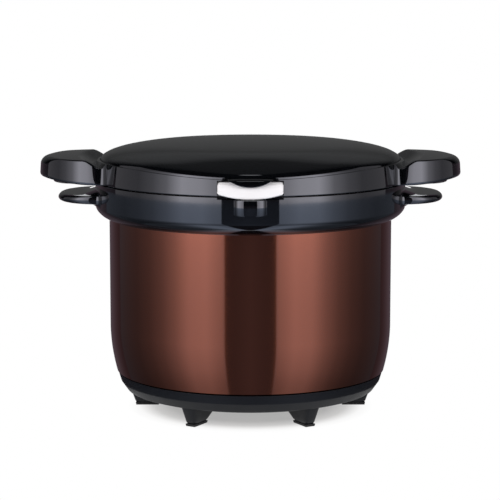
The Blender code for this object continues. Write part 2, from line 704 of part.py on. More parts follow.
def make_collar():
    """The moulded ring round the mouth, its ears, and the seal under its ledge."""
    collar = turned("collar", collar_profile(), GLOSS_BLACK)
    ears = side_grip("collar_ears", EAR_PROFILE_SHARES, EAR_REACH, EAR_BOTTOM, EAR_TOP,
                     EAR_HALF_WIDTH, EAR_PLAN_POWER, COLLAR_RADIUS - COLLAR_WALL / 2.0)
    join(collar, ears)
    side = LEVER_HALF_WIDTH + RUN_GAP
    front = -COLLAR_RADIUS - OVERRUN
    notch = box("collar_lever_notch", (-side, front, LEVER_BOTTOM - RUN_GAP),
                (side, RUN_GAP - math.sqrt(LEVER_FOOT ** 2 - side ** 2), COLLAR_TOP + OVERRUN))
    slot_side = TONGUE_HALF_WIDTH + GAP
    floor = LEVER_BOTTOM - RUN_GAP - STRAP_THICKNESS - GAP
    slot = box("collar_keeper_slot", (-slot_side, front, floor),
               (slot_side, -TONGUE_BACK + GAP * 3.0, COLLAR_TOP + OVERRUN))
    cut(collar, notch, slot, *hinge_screw_holes("collar"))
    inner = LEDGE_RADIUS + GAP
    low = FLANGE_TOP + GAP
    high = LEDGE_BOTTOM - GAP
    seal = [(inner + SEAL_WIDTH, high), (inner + SEAL_WIDTH, low), (inner, low), (inner, high)]
    turned("collar_seal", seal, SILICONE, steps=POT_SEGMENTS)


def make_base():
    """The base cover with its feet, their pads, and the screws that hold it."""
    top = SEAM_HEIGHT - JACKET_WALL * 2.0 - GAP
    step = SEAM_RADIUS - SEAM_STEP + RUN_GAP
    middle_radius = BASE_RADIUS - SEAM_STEP / 2.0
    middle_height = (top + BASE_EDGE_HEIGHT) / 2.0
    floor_top = BASE_FLOOR + BASE_WALL
    profile = [(0.0, floor_top), (BASE_FLOOR_RADIUS - BASE_WALL, floor_top),
               (BASE_EDGE_RADIUS - BASE_WALL, BASE_EDGE_HEIGHT + BASE_WALL / 2.0),
               (step - BASE_WALL / 2.0, middle_height), (step, top - BASE_WALL), (step, top),
               (BASE_RADIUS, top), (BASE_RADIUS - BASE_WALL / 4.0, top - BASE_WALL),
               (middle_radius, middle_height), (BASE_EDGE_RADIUS, BASE_EDGE_HEIGHT),
               (BASE_FLOOR_RADIUS + BASE_WALL / 2.0, BASE_FLOOR + BASE_WALL / 2.0),
               (BASE_FLOOR_RADIUS, BASE_FLOOR), (0.0, BASE_FLOOR)]
    base = turned("base_cover", profile, MATTE_BLACK, closed=False)
    pad_top = PAD_HEIGHT + GAP
    for i in range(FOOT_COUNT):
        angle = math.pi / FOOT_COUNT * (2 * i + 1)
        foot = taper_block("foot_%d" % (i + 1), FOOT_INNER, FOOT_OUTER, FOOT_HALF_WIDTH,
                           FOOT_TIP_INNER, FOOT_TIP_OUTER, FOOT_TIP_HALF_WIDTH,
                           pad_top, floor_top - BASE_WALL / 4.0, angle)
        join(base, foot)
        taper_block("foot_pad_%d" % (i + 1), FOOT_TIP_INNER, FOOT_TIP_OUTER, FOOT_TIP_HALF_WIDTH,
                    FOOT_TIP_INNER + PAD_INSET, FOOT_TIP_OUTER - PAD_INSET,
                    FOOT_TIP_HALF_WIDTH - PAD_INSET, 0.0, PAD_HEIGHT, angle, RUBBER)
    make_base_screws(base, floor_top)


def taper_block(name, inner, outer, half_width, tip_inner, tip_outer, tip_half_width, low, high,
                angle, material=None):
    """A block along a radius that narrows from its top to its tip."""
    block = box(name, (-half_width, -outer, low), (half_width, -inner, high), material)
    turn = Matrix.Rotation(angle, 4, "Z")
    for vertex in block.data.vertices:
        if vertex.co.z < (low + high) / 2.0:
            across = tip_half_width / half_width * vertex.co.x
            along = -tip_outer if vertex.co.y < -(inner + outer) / 2.0 else -tip_inner
            vertex.co = (across, along, low)
        vertex.co = turn @ vertex.co
    return block


def make_base_screws(base, floor_top):
    """Three screws up through the base cover's bosses into nuts welded to the jacket."""
    nut_top = JACKET_FLOOR - GAP
    nut_bottom = nut_top - WELD_NUT_HEIGHT
    shank_gap = BASE_SCREW_RADIUS + GAP
    circle = BASE_SCREW_CIRCLE
    bosses = []
    bores = []
    for i in range(BASE_SCREW_COUNT):
        angle = 2.0 * math.pi / BASE_SCREW_COUNT * i
        label = "_%d" % (i + 1)
        seat = BASE_FLOOR + BASE_HEAD_SINK
        bosses.append(rod("base_boss" + label, BASE_BOSS_RADIUS, polar(circle, angle, floor_top - GAP),
                          polar(circle, angle, nut_bottom - GAP)))
        bores.append(rod("base_bore" + label, shank_gap, polar(circle, angle, BASE_FLOOR - GAP),
                         polar(circle, angle, nut_bottom)))
        bores.append(rod("base_counterbore" + label, BASE_HEAD_RADIUS + RUN_GAP,
                         polar(circle, angle, BASE_FLOOR - BASE_WALL), polar(circle, angle, seat)))
        nut = rod("base_weld_nut" + label, WELD_NUT_RADIUS, polar(circle, angle, nut_bottom),
                  polar(circle, angle, nut_top), BRUSHED_STEEL, sides=6)
        cut(nut, rod("nut_bore" + label, shank_gap, polar(circle, angle, nut_bottom - GAP),
                     polar(circle, angle, nut_top + GAP)))
        screw = rod("base_screw" + label, BASE_HEAD_RADIUS,
                    polar(circle, angle, seat - GAP - BASE_HEAD_HEIGHT),
                    polar(circle, angle, seat - GAP), BRUSHED_STEEL)
        join(screw, rod("base_shank" + label, BASE_SCREW_RADIUS,
                        polar(circle, angle, seat - GAP - BASE_HEAD_HEIGHT / 2.0),
                        polar(circle, angle, nut_top - GAP)))
    join(base, *bosses)
    cut(base, *bores)


def hinge_screw_holes(owner):
    """Clearance holes for the two hinge screws."""
    holes = []
    for side, label in ((-1.0, "left"), (1.0, "right")):
        x = side * HINGE_SCREW_X
        holes.append(rod("%s_hinge_hole_%s" % (owner, label), HINGE_SCREW_RADIUS + GAP,
                         (x, COLLAR_RADIUS - COLLAR_WALL * 2.0, HINGE_SCREW_Z),
                         (x, COLLAR_RADIUS + OVERRUN, HINGE_SCREW_Z)))
    return holes


def clearance_cylinder(name, radius, low, high):
    """A turned cutter that keeps a piece clear of a ring."""
    return turned(name, [(0.0, high), (radius, high), (radius, low), (0.0, low)], closed=False)


def make_hinge():
    """The bracket on the collar's back, its screws, and the pin."""
    inner = COLLAR_RADIUS + GAP
    outer = inner + BRACKET_THICKNESS
    back = COLLAR_RADIUS
    bracket = turned("hinge_bracket", [(outer, BRACKET_TOP), (outer, BRACKET_BOTTOM),
                                       (back, BRACKET_BOTTOM), (back, BRACKET_TOP)], GLOSS_BLACK)
    keep_inside(bracket, box("bracket_span", (-BRACKET_HALF_WIDTH, 0.0, BRACKET_BOTTOM - OVERRUN),
                             (BRACKET_HALF_WIDTH, outer + OVERRUN, BRACKET_TOP + OVERRUN)))
    for side, label in ((-1.0, "left"), (1.0, "right")):
        ends = sorted((side * BRACKET_KNUCKLE_START, side * BRACKET_HALF_WIDTH))
        lug = box("bracket_lug_" + label, (ends[0] + GAP, HINGE_ROOT, BRACKET_LUG_BOTTOM),
                  (ends[1] - GAP, HINGE_AXIS_Y + GAP, HINGE_AXIS_Z + GAP))
        knuckle = rod("bracket_knuckle_" + label, KNUCKLE_RADIUS, (ends[0], HINGE_AXIS_Y, HINGE_AXIS_Z),
                      (ends[1], HINGE_AXIS_Y, HINGE_AXIS_Z))
        join(bracket, lug, knuckle)
    cut(bracket, clearance_cylinder("bracket_clearance", inner, BRACKET_BOTTOM - OVERRUN,
                                    HINGE_AXIS_Z + OVERRUN))
    cut(bracket, hinge_bore("bracket_bore"), *hinge_screw_holes("bracket"))
    rod("hinge_pin", HINGE_PIN_RADIUS, (-HINGE_PIN_REACH, HINGE_AXIS_Y, HINGE_AXIS_Z),
        (HINGE_PIN_REACH, HINGE_AXIS_Y, HINGE_AXIS_Z), BRUSHED_STEEL)
    for side, label in ((-1.0, "left"), (1.0, "right")):
        x = side * HINGE_SCREW_X
        face = outer + GAP
        screw = rod("hinge_screw_" + label, HINGE_HEAD_RADIUS, (x, face, HINGE_SCREW_Z),
                    (x, face + HINGE_HEAD_HEIGHT, HINGE_SCREW_Z), BRUSHED_STEEL)
        join(screw, rod("hinge_shank_" + label, HINGE_SCREW_RADIUS,
                        (x, face - HINGE_SCREW_LENGTH, HINGE_SCREW_Z),
                        (x, face + HINGE_HEAD_HEIGHT / 2.0, HINGE_SCREW_Z)))


def hinge_bore(name):
    """The bore along the hinge axis."""
    reach = BRACKET_HALF_WIDTH + OVERRUN
    return rod(name, KNUCKLE_BORE, (-reach, HINGE_AXIS_Y, HINGE_AXIS_Z),
               (reach, HINGE_AXIS_Y, HINGE_AXIS_Z))


def frame_profile():
    """Section of the lid's ring: outer wall, web and the groove that holds the gasket."""
    return [(LID_RIM_RADIUS, LID_RIM), (LID_RADIUS, LID_BOTTOM + LID_EDGE_ROUND),
            (LID_RADIUS - LID_EDGE_ROUND, LID_BOTTOM), (LID_WALL_INSIDE, LID_BOTTOM),
            (LID_WALL_INSIDE, LID_WEB_BOTTOM), (GROOVE_OUTER + GROOVE_WALL, LID_WEB_BOTTOM),
            (GROOVE_OUTER + GROOVE_WALL, LID_BOTTOM), (GROOVE_OUTER, LID_BOTTOM),
            (GROOVE_OUTER, LID_WEB_BOTTOM), (GROOVE_INNER, LID_WEB_BOTTOM),
            (GROOVE_INNER, LID_BOTTOM), (GROOVE_INNER - GROOVE_WALL, LID_BOTTOM),
            (GROOVE_INNER - GROOVE_WALL, LID_WEB_TOP), (LID_WALL_INSIDE, LID_WEB_TOP),
            (LID_RIM_RADIUS - LID_RIM_WIDTH, LID_RIM)]


def make_lid_frame():
    """The lid's ring with its wing handles, hinge knuckle and latch bosses."""
    frame = turned("lid_frame", frame_profile(), GLOSS_BLACK)
    dip_rim(freeze(frame))
    wings = side_grip("lid_wings", WING_PROFILE_SHARES, WING_REACH, WING_BOTTOM, WING_TOP,
                      WING_HALF_WIDTH, WING_PLAN_POWER, WING_ROOT_CUT)
    join(frame, wings)
    web = box("lid_hinge_web", (-LID_KNUCKLE_REACH, HINGE_ROOT, LID_BOTTOM),
              (LID_KNUCKLE_REACH, HINGE_AXIS_Y, HINGE_WEB_TOP))
    knuckle = rod("lid_knuckle", KNUCKLE_RADIUS, (-LID_KNUCKLE_REACH, HINGE_AXIS_Y, HINGE_AXIS_Z),
                  (LID_KNUCKLE_REACH, HINGE_AXIS_Y, HINGE_AXIS_Z))
    join(frame, web, knuckle)
    side = LEVER_HALF_WIDTH + RUN_GAP
    for sign, label in ((-1.0, "left"), (1.0, "right")):
        ends = sorted((sign * (side - GAP), sign * (side + LATCH_BOSS_WIDTH)))
        join(frame, box("latch_boss_" + label, (ends[0], -LATCH_BOSS_REACH, LID_WEB_TOP - GAP),
                        (ends[1], -LATCH_BOSS_BACK, LATCH_BOSS_TOP)))
    front = -LID_RADIUS - OVERRUN
    low_notch = box("frame_notch_low", (-side, front, LID_BOTTOM - OVERRUN),
                    (side, -NOTCH_BACK, NOTCH_TOP))
    barrel_back = -LATCH_AXIS_RADIUS + LATCH_BARREL_RADIUS + GAP
    high_notch = box("frame_notch_high", (-side, front, NOTCH_FLOOR), (side, barrel_back, NOTCH_TOP))
    lobe_side = LOBE_HALF_WIDTH + RUN_GAP
    lobe_notch = box("frame_lobe_notch", (-lobe_side, front, NOTCH_FLOOR),
                     (lobe_side, barrel_back, LID_RIM + OVERRUN))
    cut(frame, low_notch, high_notch, lobe_notch, hinge_bore("frame_hinge_bore"))
    cut(frame, latch_rod("frame_latch_bore", LATCH_PIN_RADIUS + GAP, LATCH_PIN_REACH + GAP))
    cut(frame, *wing_pockets(), *lid_screw_rods("frame_screw_hole", LID_SCREW_RADIUS + GAP,
                                                LID_WEB_TOP - LID_SCREW_BITE - GAP))
    return frame


def latch_rod(name, radius, reach, material=None, sides=ROD_SIDES):
    """A rod along the latch's axis."""
    return rod(name, radius, (-reach, -LATCH_AXIS_RADIUS, LATCH_AXIS_HEIGHT),
               (reach, -LATCH_AXIS_RADIUS, LATCH_AXIS_HEIGHT), material, sides)


def pocket_outline(margin):
    """Plan of a wing's hollow, drawn in from the wing's edge by a margin."""
    return half_superellipse(WING_POCKET_START + margin, WING_REACH - WING_POCKET_MARGIN * 2.0 - margin,
                             WING_HALF_WIDTH - WING_POCKET_MARGIN * 2.0 - margin, WING_PLAN_POWER)


def mirrored(points):
    """Plan points on the other side of the YZ plane, in the same turning sense."""
    return [(-x, y) for x, y in reversed(points)]


def wing_pockets():
    """Hollows of the two wing handles, open below."""
    outline = pocket_outline(0.0)
    top = WING_BOTTOM + WING_POCKET_HEIGHT
    return [slab("wing_pocket_right", outline, WING_BOTTOM - OVERRUN, top),
            slab("wing_pocket_left", mirrored(outline), WING_BOTTOM - OVERRUN, top)]


def make_wing_covers():
    """Plates that close the hollow wing handles from below."""
    outline = pocket_outline(GAP)
    top = WING_BOTTOM + WING_COVER_THICKNESS
    slab("wing_cover_right", outline, WING_BOTTOM, top, material=GLOSS_BLACK)
    slab("wing_cover_left", mirrored(outline), WING_BOTTOM, top, material=GLOSS_BLACK)


def lid_screw_rods(name, radius, low, high=LID_WEB_TOP + OVERRUN, material=None):
    """Upright rods on the circle of the lid's screws."""
    rods = []
    for i in range(LID_SCREW_COUNT):
        angle = 2.0 * math.pi / LID_SCREW_COUNT * (i + 0.5)
        rods.append(rod("%s_%d" % (name, i + 1), radius, polar(LID_SCREW_CIRCLE, angle, low),
                        polar(LID_SCREW_CIRCLE, angle, high), material))
    return rods


def dome_height(share):
    """Height of the dome's outside at a share of its radius."""
    edge = LID_RIM + DOME_EDGE_RISE
    for (r0, h0), (r1, h1) in zip(DOME_PROFILE_SHARES, DOME_PROFILE_SHARES[1:]):
        if share <= r1:
            return edge + (DOME_TOP - edge) * (h0 + (h1 - h0) * (share - r0) / (r1 - r0))
    return edge


def make_top_cover():
    """The lid's dome, whose skirt stands on the web, with the thumb lobe at its front."""
    edge = LID_RIM + DOME_EDGE_RISE
    profile = [(DOME_RADIUS * r, edge + (DOME_TOP - edge) * h) for r, h in DOME_PROFILE_SHARES]
    profile.append((DOME_RADIUS, edge))
    profile.append((DOME_RADIUS, LID_WEB_TOP + GAP))
    dome = turned("lid_top_cover", profile, GLOSS_BLACK, closed=False, wall=DOME_WALL)
    dip_rim(freeze(dome))
    side = LEVER_HALF_WIDTH + RUN_GAP + LATCH_BOSS_WIDTH + GAP
    room = box("dome_latch_room", (-side, -DOME_RADIUS - OVERRUN, LID_WEB_TOP - OVERRUN),
               (side, -LATCH_BOSS_BACK + GAP, NOTCH_TOP - GAP))
    cut(dome, room)
    lobe = turned("thumb_lobe", [(LOBE_ROOT, LOBE_TOP), (LOBE_FRONT - LOBE_BACK + LOBE_ROOT, LOBE_TOP),
                                 (LOBE_FRONT, NOTCH_TOP + GAP), (LOBE_FRONT, LOBE_BOTTOM),
                                 (LOBE_BACK, LOBE_BOTTOM), (LOBE_BACK, NOTCH_TOP),
                                 (LOBE_ROOT, NOTCH_TOP)], steps=FINE_SEGMENTS)
    outline = [(-LOBE_HALF_WIDTH, LOBE_TOP + OVERRUN)]
    count = 12
    for i in range(count + 1):
        angle = math.pi * i / count
        outline.append((-LOBE_HALF_WIDTH * math.cos(angle),
                        NOTCH_TOP - (NOTCH_TOP - LOBE_BOTTOM) * math.sin(angle)))
    outline.append((LOBE_HALF_WIDTH, LOBE_TOP + OVERRUN))
    keep_inside(lobe, slab("lobe_outline", outline, -LOBE_FRONT - OVERRUN, 0.0, upright=True))
    join(dome, lobe)


def make_lid_inside():
    """The inner cover, the foam over it, the gasket and the four screws."""
    flange_top = LID_WEB_TOP + GAP + INNER_COVER_WALL
    rise = INNER_COVER_TOP - flange_top
    crown = [(INNER_DOME_RADIUS * u, INNER_COVER_TOP - rise * v) for u, v in INNER_COVER_SHARES]
    cover = crown + [(INNER_DOME_RADIUS, flange_top), (INNER_FLANGE_RADIUS, flange_top)]
    inner = turned("lid_inner_cover", cover, GREY_PLASTIC, closed=False, steps=POT_SEGMENTS,
                   wall=INNER_COVER_WALL)
    cut(inner, *lid_screw_rods("cover_screw_hole", LID_SCREW_RADIUS + GAP, LID_WEB_TOP))
    floor = RUN_GAP * 2.0
    roof = DOME_WALL + floor
    top = [(FOAM_RADIUS * share, dome_height(FOAM_RADIUS * share / DOME_RADIUS) - roof * (1.0 + share))
           for share in FOAM_RADIUS_SHARES]
    below = [(FOAM_RADIUS, flange_top + rise * FOAM_FOOT_SHARE)]
    below += [(radius, height + floor) for radius, height in reversed(crown)]
    turned("lid_foam", top + below, FOAM, closed=False, steps=POT_SEGMENTS)
    outer = GROOVE_OUTER - GAP
    inside = GROOVE_INNER + GAP
    low = LID_BOTTOM - GASKET_DROP
    high = LID_WEB_BOTTOM - GAP
    lip = (outer - inside) / 4.0
    turned("lid_gasket", [(outer, high), (outer, low + lip), (inside + lip * 2.0, low),
                          (inside, low + lip), (inside, high)], SILICONE)
    head_low = flange_top + GAP
    heads = lid_screw_rods("lid_screw", LID_SCREW_HEAD_RADIUS, head_low,
                           head_low + LID_SCREW_HEAD_HEIGHT, BRUSHED_STEEL)
    shanks = lid_screw_rods("lid_shank", LID_SCREW_RADIUS, LID_WEB_TOP - LID_SCREW_BITE,
                            head_low + LID_SCREW_HEAD_HEIGHT / 2.0)
    for head, shank in zip(heads, shanks):
        join(head, shank)


def make_latch():
    """The lever, the pin that it turns on, and its spring."""
    nose = TONGUE_LIP + NOSE_CLEARANCE
    height = LEVER_TOP - LEVER_BOTTOM
    out = LEVER_FRONT - LEVER_TOP_RADIUS
    front = [(LEVER_TOP_RADIUS + out * u, LEVER_BOTTOM + height * v) for u, v in LEVER_FRONT_SHARES]
    low = LEVER_BOTTOM + height * NOSE_SHARES[0]
    high = LEVER_BOTTOM + height * NOSE_SHARES[1]
    arm = nose + GAP * 3.0
    shoulder = LATCH_AXIS_HEIGHT - LATCH_BARREL_RADIUS + GAP
    profile = [(LEVER_BACK, LEVER_TOP)] + front
    profile += [(LEVER_FOOT, LEVER_BOTTOM), (LEVER_FOOT, low), (nose, low), (nose, high), (arm, high),
                (arm, shoulder), (LEVER_BACK, shoulder)]
    lever = turned("latch_lever", profile, WHITE_PLASTIC, steps=FINE_SEGMENTS)
    span_low = (-LEVER_HALF_WIDTH, -LEVER_FRONT - OVERRUN, LEVER_BOTTOM - OVERRUN)
    keep_inside(lever, box("lever_span", span_low, (LEVER_HALF_WIDTH, 0.0, LEVER_TOP + OVERRUN)))
    join(lever, latch_rod("lever_barrel", LATCH_BARREL_RADIUS, LEVER_HALF_WIDTH - GAP))
    pocket = SPRING_RADIUS + SPRING_WIRE * 3.0
    cut(lever, latch_rod("lever_spring_room", pocket, SPRING_HALF_LENGTH + SPRING_WIRE * 3.0),
        latch_rod("lever_bore", LATCH_PIN_RADIUS + GAP, LEVER_HALF_WIDTH + OVERRUN))
    latch_rod("latch_pin", LATCH_PIN_RADIUS, LATCH_PIN_REACH, BRUSHED_STEEL)
    points = []
    count = SPRING_TURNS * SPRING_POINTS_A_TURN
    for i in range(count + 1):
        angle = 2.0 * math.pi * i / SPRING_POINTS_A_TURN
        points.append((SPRING_HALF_LENGTH * (2.0 * i / count - 1.0),
                       -LATCH_AXIS_RADIUS + SPRING_RADIUS * math.cos(angle),
                       LATCH_AXIS_HEIGHT + SPRING_RADIUS * math.sin(angle)))
    wire("latch_spring", points, SPRING_WIRE, BRUSHED_STEEL, resolution=0)


def make_keeper():
    """The catch: a rounded tab outside the collar, a strap over its edge and a tongue inside."""
    strap_top = LEVER_BOTTOM - RUN_GAP
    strap_low = strap_top - STRAP_THICKNESS
    lip_low = TONGUE_TOP - TONGUE_LIP_HEIGHT
    inner = TONGUE_BACK + TONGUE_THICKNESS
    outer = COLLAR_RADIUS + STRAP_THICKNESS
    profile = [(TONGUE_LIP - GAP, TONGUE_TOP), (TONGUE_LIP, TONGUE_TOP - GAP), (TONGUE_LIP, lip_low),
               (inner, lip_low), (inner, strap_top), (outer, strap_top), (outer, strap_low),
               (TONGUE_BACK, strap_low), (TONGUE_BACK, TONGUE_TOP)]
    keeper = turned("latch_keeper", profile, GLOSS_BLACK, steps=FINE_SEGMENTS)
    keep_inside(keeper, box("keeper_span", (-TONGUE_HALF_WIDTH, -outer - OVERRUN, strap_low - OVERRUN),
                            (TONGUE_HALF_WIDTH, 0.0, TONGUE_TOP + OVERRUN)))
    count = 12
    root = COLLAR_RADIUS - GAP * 4.0
    outline = []
    for i in range(count + 1):
        angle = math.pi * i / count
        outline.append((-TAB_HALF_WIDTH * math.cos(angle),
                        -root - (TAB_FRONT - root) * math.sin(angle) ** TAB_ROUND_POWER))
    tab = slab("keeper_tab", outline, TAB_BOTTOM, strap_top)
    cut(tab, clearance_cylinder("tab_clearance", COLLAR_RADIUS + GAP, TAB_BOTTOM - OVERRUN,
                                strap_top + OVERRUN))
    join(keeper, tab)


def make_pot():
    """The pot and the disc clad to its bottom."""
    corner = POT_CORNER * (1.0 - math.sqrt(0.5))
    profile = [(POT_RADIUS + POT_FLARE, POT_RIM), (POT_RADIUS, POT_RIM - POT_FLARE),
               (POT_RADIUS, POT_FLOOR + POT_CORNER), (POT_RADIUS - corner, POT_FLOOR + corner),
               (POT_RADIUS - POT_CORNER, POT_FLOOR), (0.0, POT_FLOOR)]
    pot = turned("inner_pot", profile, BRUSHED_STEEL, closed=False, steps=POT_SEGMENTS, wall=POT_WALL)
    top = POT_FLOOR - GAP
    low = top - DISC_THICKNESS
    disc = [(0.0, top), (DISC_RADIUS, top), (DISC_RADIUS, low + DISC_EDGE_ROUND),
            (DISC_RADIUS - DISC_EDGE_ROUND, low), (0.0, low)]
    turned("pot_base_disc", disc, ALUMINIUM, closed=False, steps=POT_SEGMENTS)
    inner = POT_RADIUS + GAP
    low = LEDGE_TOP + GAP
    high = low + POT_BRACKET_HEIGHT
    middle = (low + high) / 2.0
    for side, label in ((-1.0, "left"), (1.0, "right")):
        name = "pot_bracket_" + label
        bracket = turned(name, [(POT_BRACKET_RADIUS, high), (POT_BRACKET_RADIUS, low),
                                (inner, low), (inner, high)], BRUSHED_STEEL, steps=POT_SEGMENTS)
        ends = sorted((0.0, side * (POT_BRACKET_RADIUS + OVERRUN)))
        keep_inside(bracket, box(name + "_span", (ends[0], -POT_BRACKET_HALF_WIDTH, low - OVERRUN),
                                 (ends[1], POT_BRACKET_HALF_WIDTH, high + OVERRUN)))
        make_pot_handle(side, label, middle, bracket, pot)


def make_pot_handle(side, label, height, bracket, pot):
    """One folding wire handle, its bores in the bracket, and the bracket's two rivets."""
    x = side * HANDLE_AXIS_X
    bore_end = POT_BRACKET_HALF_WIDTH - HANDLE_BORE_DEPTH
    points = [(x, bore_end + GAP, height), (x, POT_BRACKET_HALF_WIDTH + HANDLE_STRAIGHT, height)]
    count = 8
    for i in range(count + 1):
        angle = HANDLE_ARC_HALF_ANGLE * (1.0 - 2.0 * i / count)
        points.append((side * HANDLE_ARC_RADIUS * math.cos(angle),
                       HANDLE_ARC_RADIUS * math.sin(angle), height))
    points += [(x, -POT_BRACKET_HALF_WIDTH - HANDLE_STRAIGHT, height), (x, -bore_end - GAP, height)]
    wire("pot_handle_" + label, points, HANDLE_WIRE_RADIUS, BRUSHED_STEEL)
    for sign in (-1.0, 1.0):
        tag = "%s_%s" % (label, "front" if sign < 0.0 else "rear")
        cut(bracket, rod("handle_bore_" + tag, HANDLE_WIRE_RADIUS + GAP, (x, sign * bore_end, height),
                         (x, sign * (POT_BRACKET_HALF_WIDTH + OVERRUN), height)))
        y = sign * RIVET_SPACING
        inside = math.sqrt((POT_RADIUS - POT_WALL) ** 2 - RIVET_SPACING ** 2)
        head = side * (inside - RUN_GAP * 2.0)
        tip = side * (POT_BRACKET_RADIUS - RIVET_HEAD_HEIGHT)
        hole = rod("rivet_hole_" + tag, RIVET_RADIUS + GAP, (head - side * RUN_GAP, y, height),
                   (tip + side * GAP, y, height))
        cut(bracket, hole)
        cut(pot, hole)
        number = (1 if side < 0.0 else 3) + (0 if sign < 0.0 else 1)
        rivet = rod("pot_rivet_%d" % number, RIVET_HEAD_RADIUS, (head, y, height),
                    (head - side * RIVET_HEAD_HEIGHT, y, height), BRUSHED_STEEL)
        start = (head - side * RIVET_HEAD_HEIGHT / 2.0, y, height)
        join(rivet, rod("rivet_shank_" + tag, RIVET_RADIUS, start, (tip, y, height)))


def make_pot_lid():
    """The pot's glass lid with its band, knob, screw and washer."""
    profile = [(GLASS_HOLE, GLASS_TOP)]
    profile += [(GLASS_RADIUS * u, GLASS_TOP - GLASS_CROWN * v) for u, v in GLASS_PROFILE_SHARES]
    turned("pot_lid_glass", profile, GLASS, closed=False, steps=POT_SEGMENTS, wall=GLASS_THICKNESS)
    seat = GLASS_TOP - GLASS_CROWN - GLASS_THICKNESS - GAP
    outer = GLASS_RADIUS + GAP + BAND_WALL
    band = [(outer, seat + BAND_UPSTAND), (outer, seat - BAND_WALL),
            (BAND_SKIRT_RADIUS + BAND_WALL, seat - BAND_WALL),
            (BAND_SKIRT_RADIUS + BAND_WALL, seat - BAND_SKIRT), (BAND_SKIRT_RADIUS, seat - BAND_SKIRT),
            (BAND_SKIRT_RADIUS, seat), (outer - BAND_WALL, seat), (outer - BAND_WALL, seat + BAND_UPSTAND)]
    turned("pot_lid_band", band, BRUSHED_STEEL, steps=POT_SEGMENTS)
    foot = GLASS_TOP + GAP
    rise = KNOB_TOP - foot
    knob = [(KNOB_RADIUS * u, foot + rise * v) for u, v in KNOB_PROFILE_SHARES]
    knob += [(KNOB_NECK_RADIUS, foot), (0.0, foot)]
    body = turned("pot_knob", knob, MATTE_BLACK, closed=False, steps=SMALL_SEGMENTS)
    tip = (0.0, 0.0, foot + KNOB_SCREW_REACH)
    cut(body, rod("knob_bore", KNOB_SCREW_RADIUS + GAP, (0.0, 0.0, foot - GAP),
                  (0.0, 0.0, foot + KNOB_SCREW_REACH + GAP)))
    washer_top = GLASS_TOP - GLASS_THICKNESS - GAP
    washer_low = washer_top - KNOB_WASHER_THICKNESS
    hole = KNOB_SCREW_RADIUS + GAP
    turned("pot_knob_washer", [(KNOB_WASHER_RADIUS, washer_top), (KNOB_WASHER_RADIUS, washer_low),
                               (hole, washer_low), (hole, washer_top)], BRUSHED_STEEL,
           steps=SMALL_SEGMENTS)
    head_top = washer_low - GAP
    screw = rod("pot_knob_screw", KNOB_SCREW_HEAD_RADIUS, (0.0, 0.0, head_top - KNOB_SCREW_HEAD_HEIGHT),
                (0.0, 0.0, head_top), BRUSHED_STEEL)
    join(screw, rod("knob_shank", KNOB_SCREW_RADIUS, (0.0, 0.0, head_top - KNOB_SCREW_HEAD_HEIGHT / 2.0),
                    tip))


def with_cutters(obj):
    """An object with every cutter that shapes it, and those cutters' own cutters."""
    found = [obj]
    for modifier in obj.modifiers:
        if modifier.type == "BOOLEAN":
            found += with_cutters(modifier.object)
    return found


def hang_on_axis(name, place, pieces, parent=None):
    """Parents pieces, with what cuts them, to an empty on their joint's axis, where they stand."""
    empty = bpy.data.objects.new(name, None)
    PARTS.objects.link(empty)
    empty.empty_display_size = KNUCKLE_RADIUS
    empty.location = place
    if parent is not None:
        empty.parent = parent
        empty.location = Vector(place) - parent.location
    for piece in pieces:
        for obj in with_cutters(bpy.data.objects[piece]):
            obj.parent = empty
            obj.matrix_parent_inverse = Matrix.Translation(place).inverted()
    return empty


def hang_moving_pieces():
    """The lid on its hinge, the lever on the lid's pin, and each pot handle on its bores."""
    lid_pieces = ["lid_frame", "lid_top_cover", "lid_inner_cover", "lid_foam", "lid_gasket",
                  "wing_cover_left", "wing_cover_right", "latch_pin", "latch_spring"]
    lid_pieces += ["lid_screw_%d" % (i + 1) for i in range(LID_SCREW_COUNT)]
    lid = hang_on_axis("lid_axis", (0.0, HINGE_AXIS_Y, HINGE_AXIS_Z), lid_pieces)
    hang_on_axis("latch_axis", (0.0, -LATCH_AXIS_RADIUS, LATCH_AXIS_HEIGHT), ["latch_lever"], lid)
    height = LEDGE_TOP + GAP + POT_BRACKET_HEIGHT / 2.0
    for side, label in ((-1.0, "left"), (1.0, "right")):
        hang_on_axis("pot_handle_axis_" + label, (side * HANDLE_AXIS_X, 0.0, height),
                     ["pot_handle_" + label])


make_vessel()
make_collar()
make_base()
make_hinge()
make_keeper()
make_pot()
make_pot_lid()
make_lid_frame()
make_wing_covers()
make_top_cover()
make_lid_inside()
make_latch()
hang_moving_pieces()
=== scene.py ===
# %% [markdown]
# # Dressing a thermal cooker
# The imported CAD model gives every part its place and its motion. This lesson lays fine surfaces and
# real finishes over it: brown lacquered steel, glossy black mouldings, a white lever and the
# stainless pot inside. Everything is in metres, with the floor at Z = 0 and the front facing -Y.

import math

import bmesh
import bpy
import numpy as np
from mathutils import Matrix, Vector


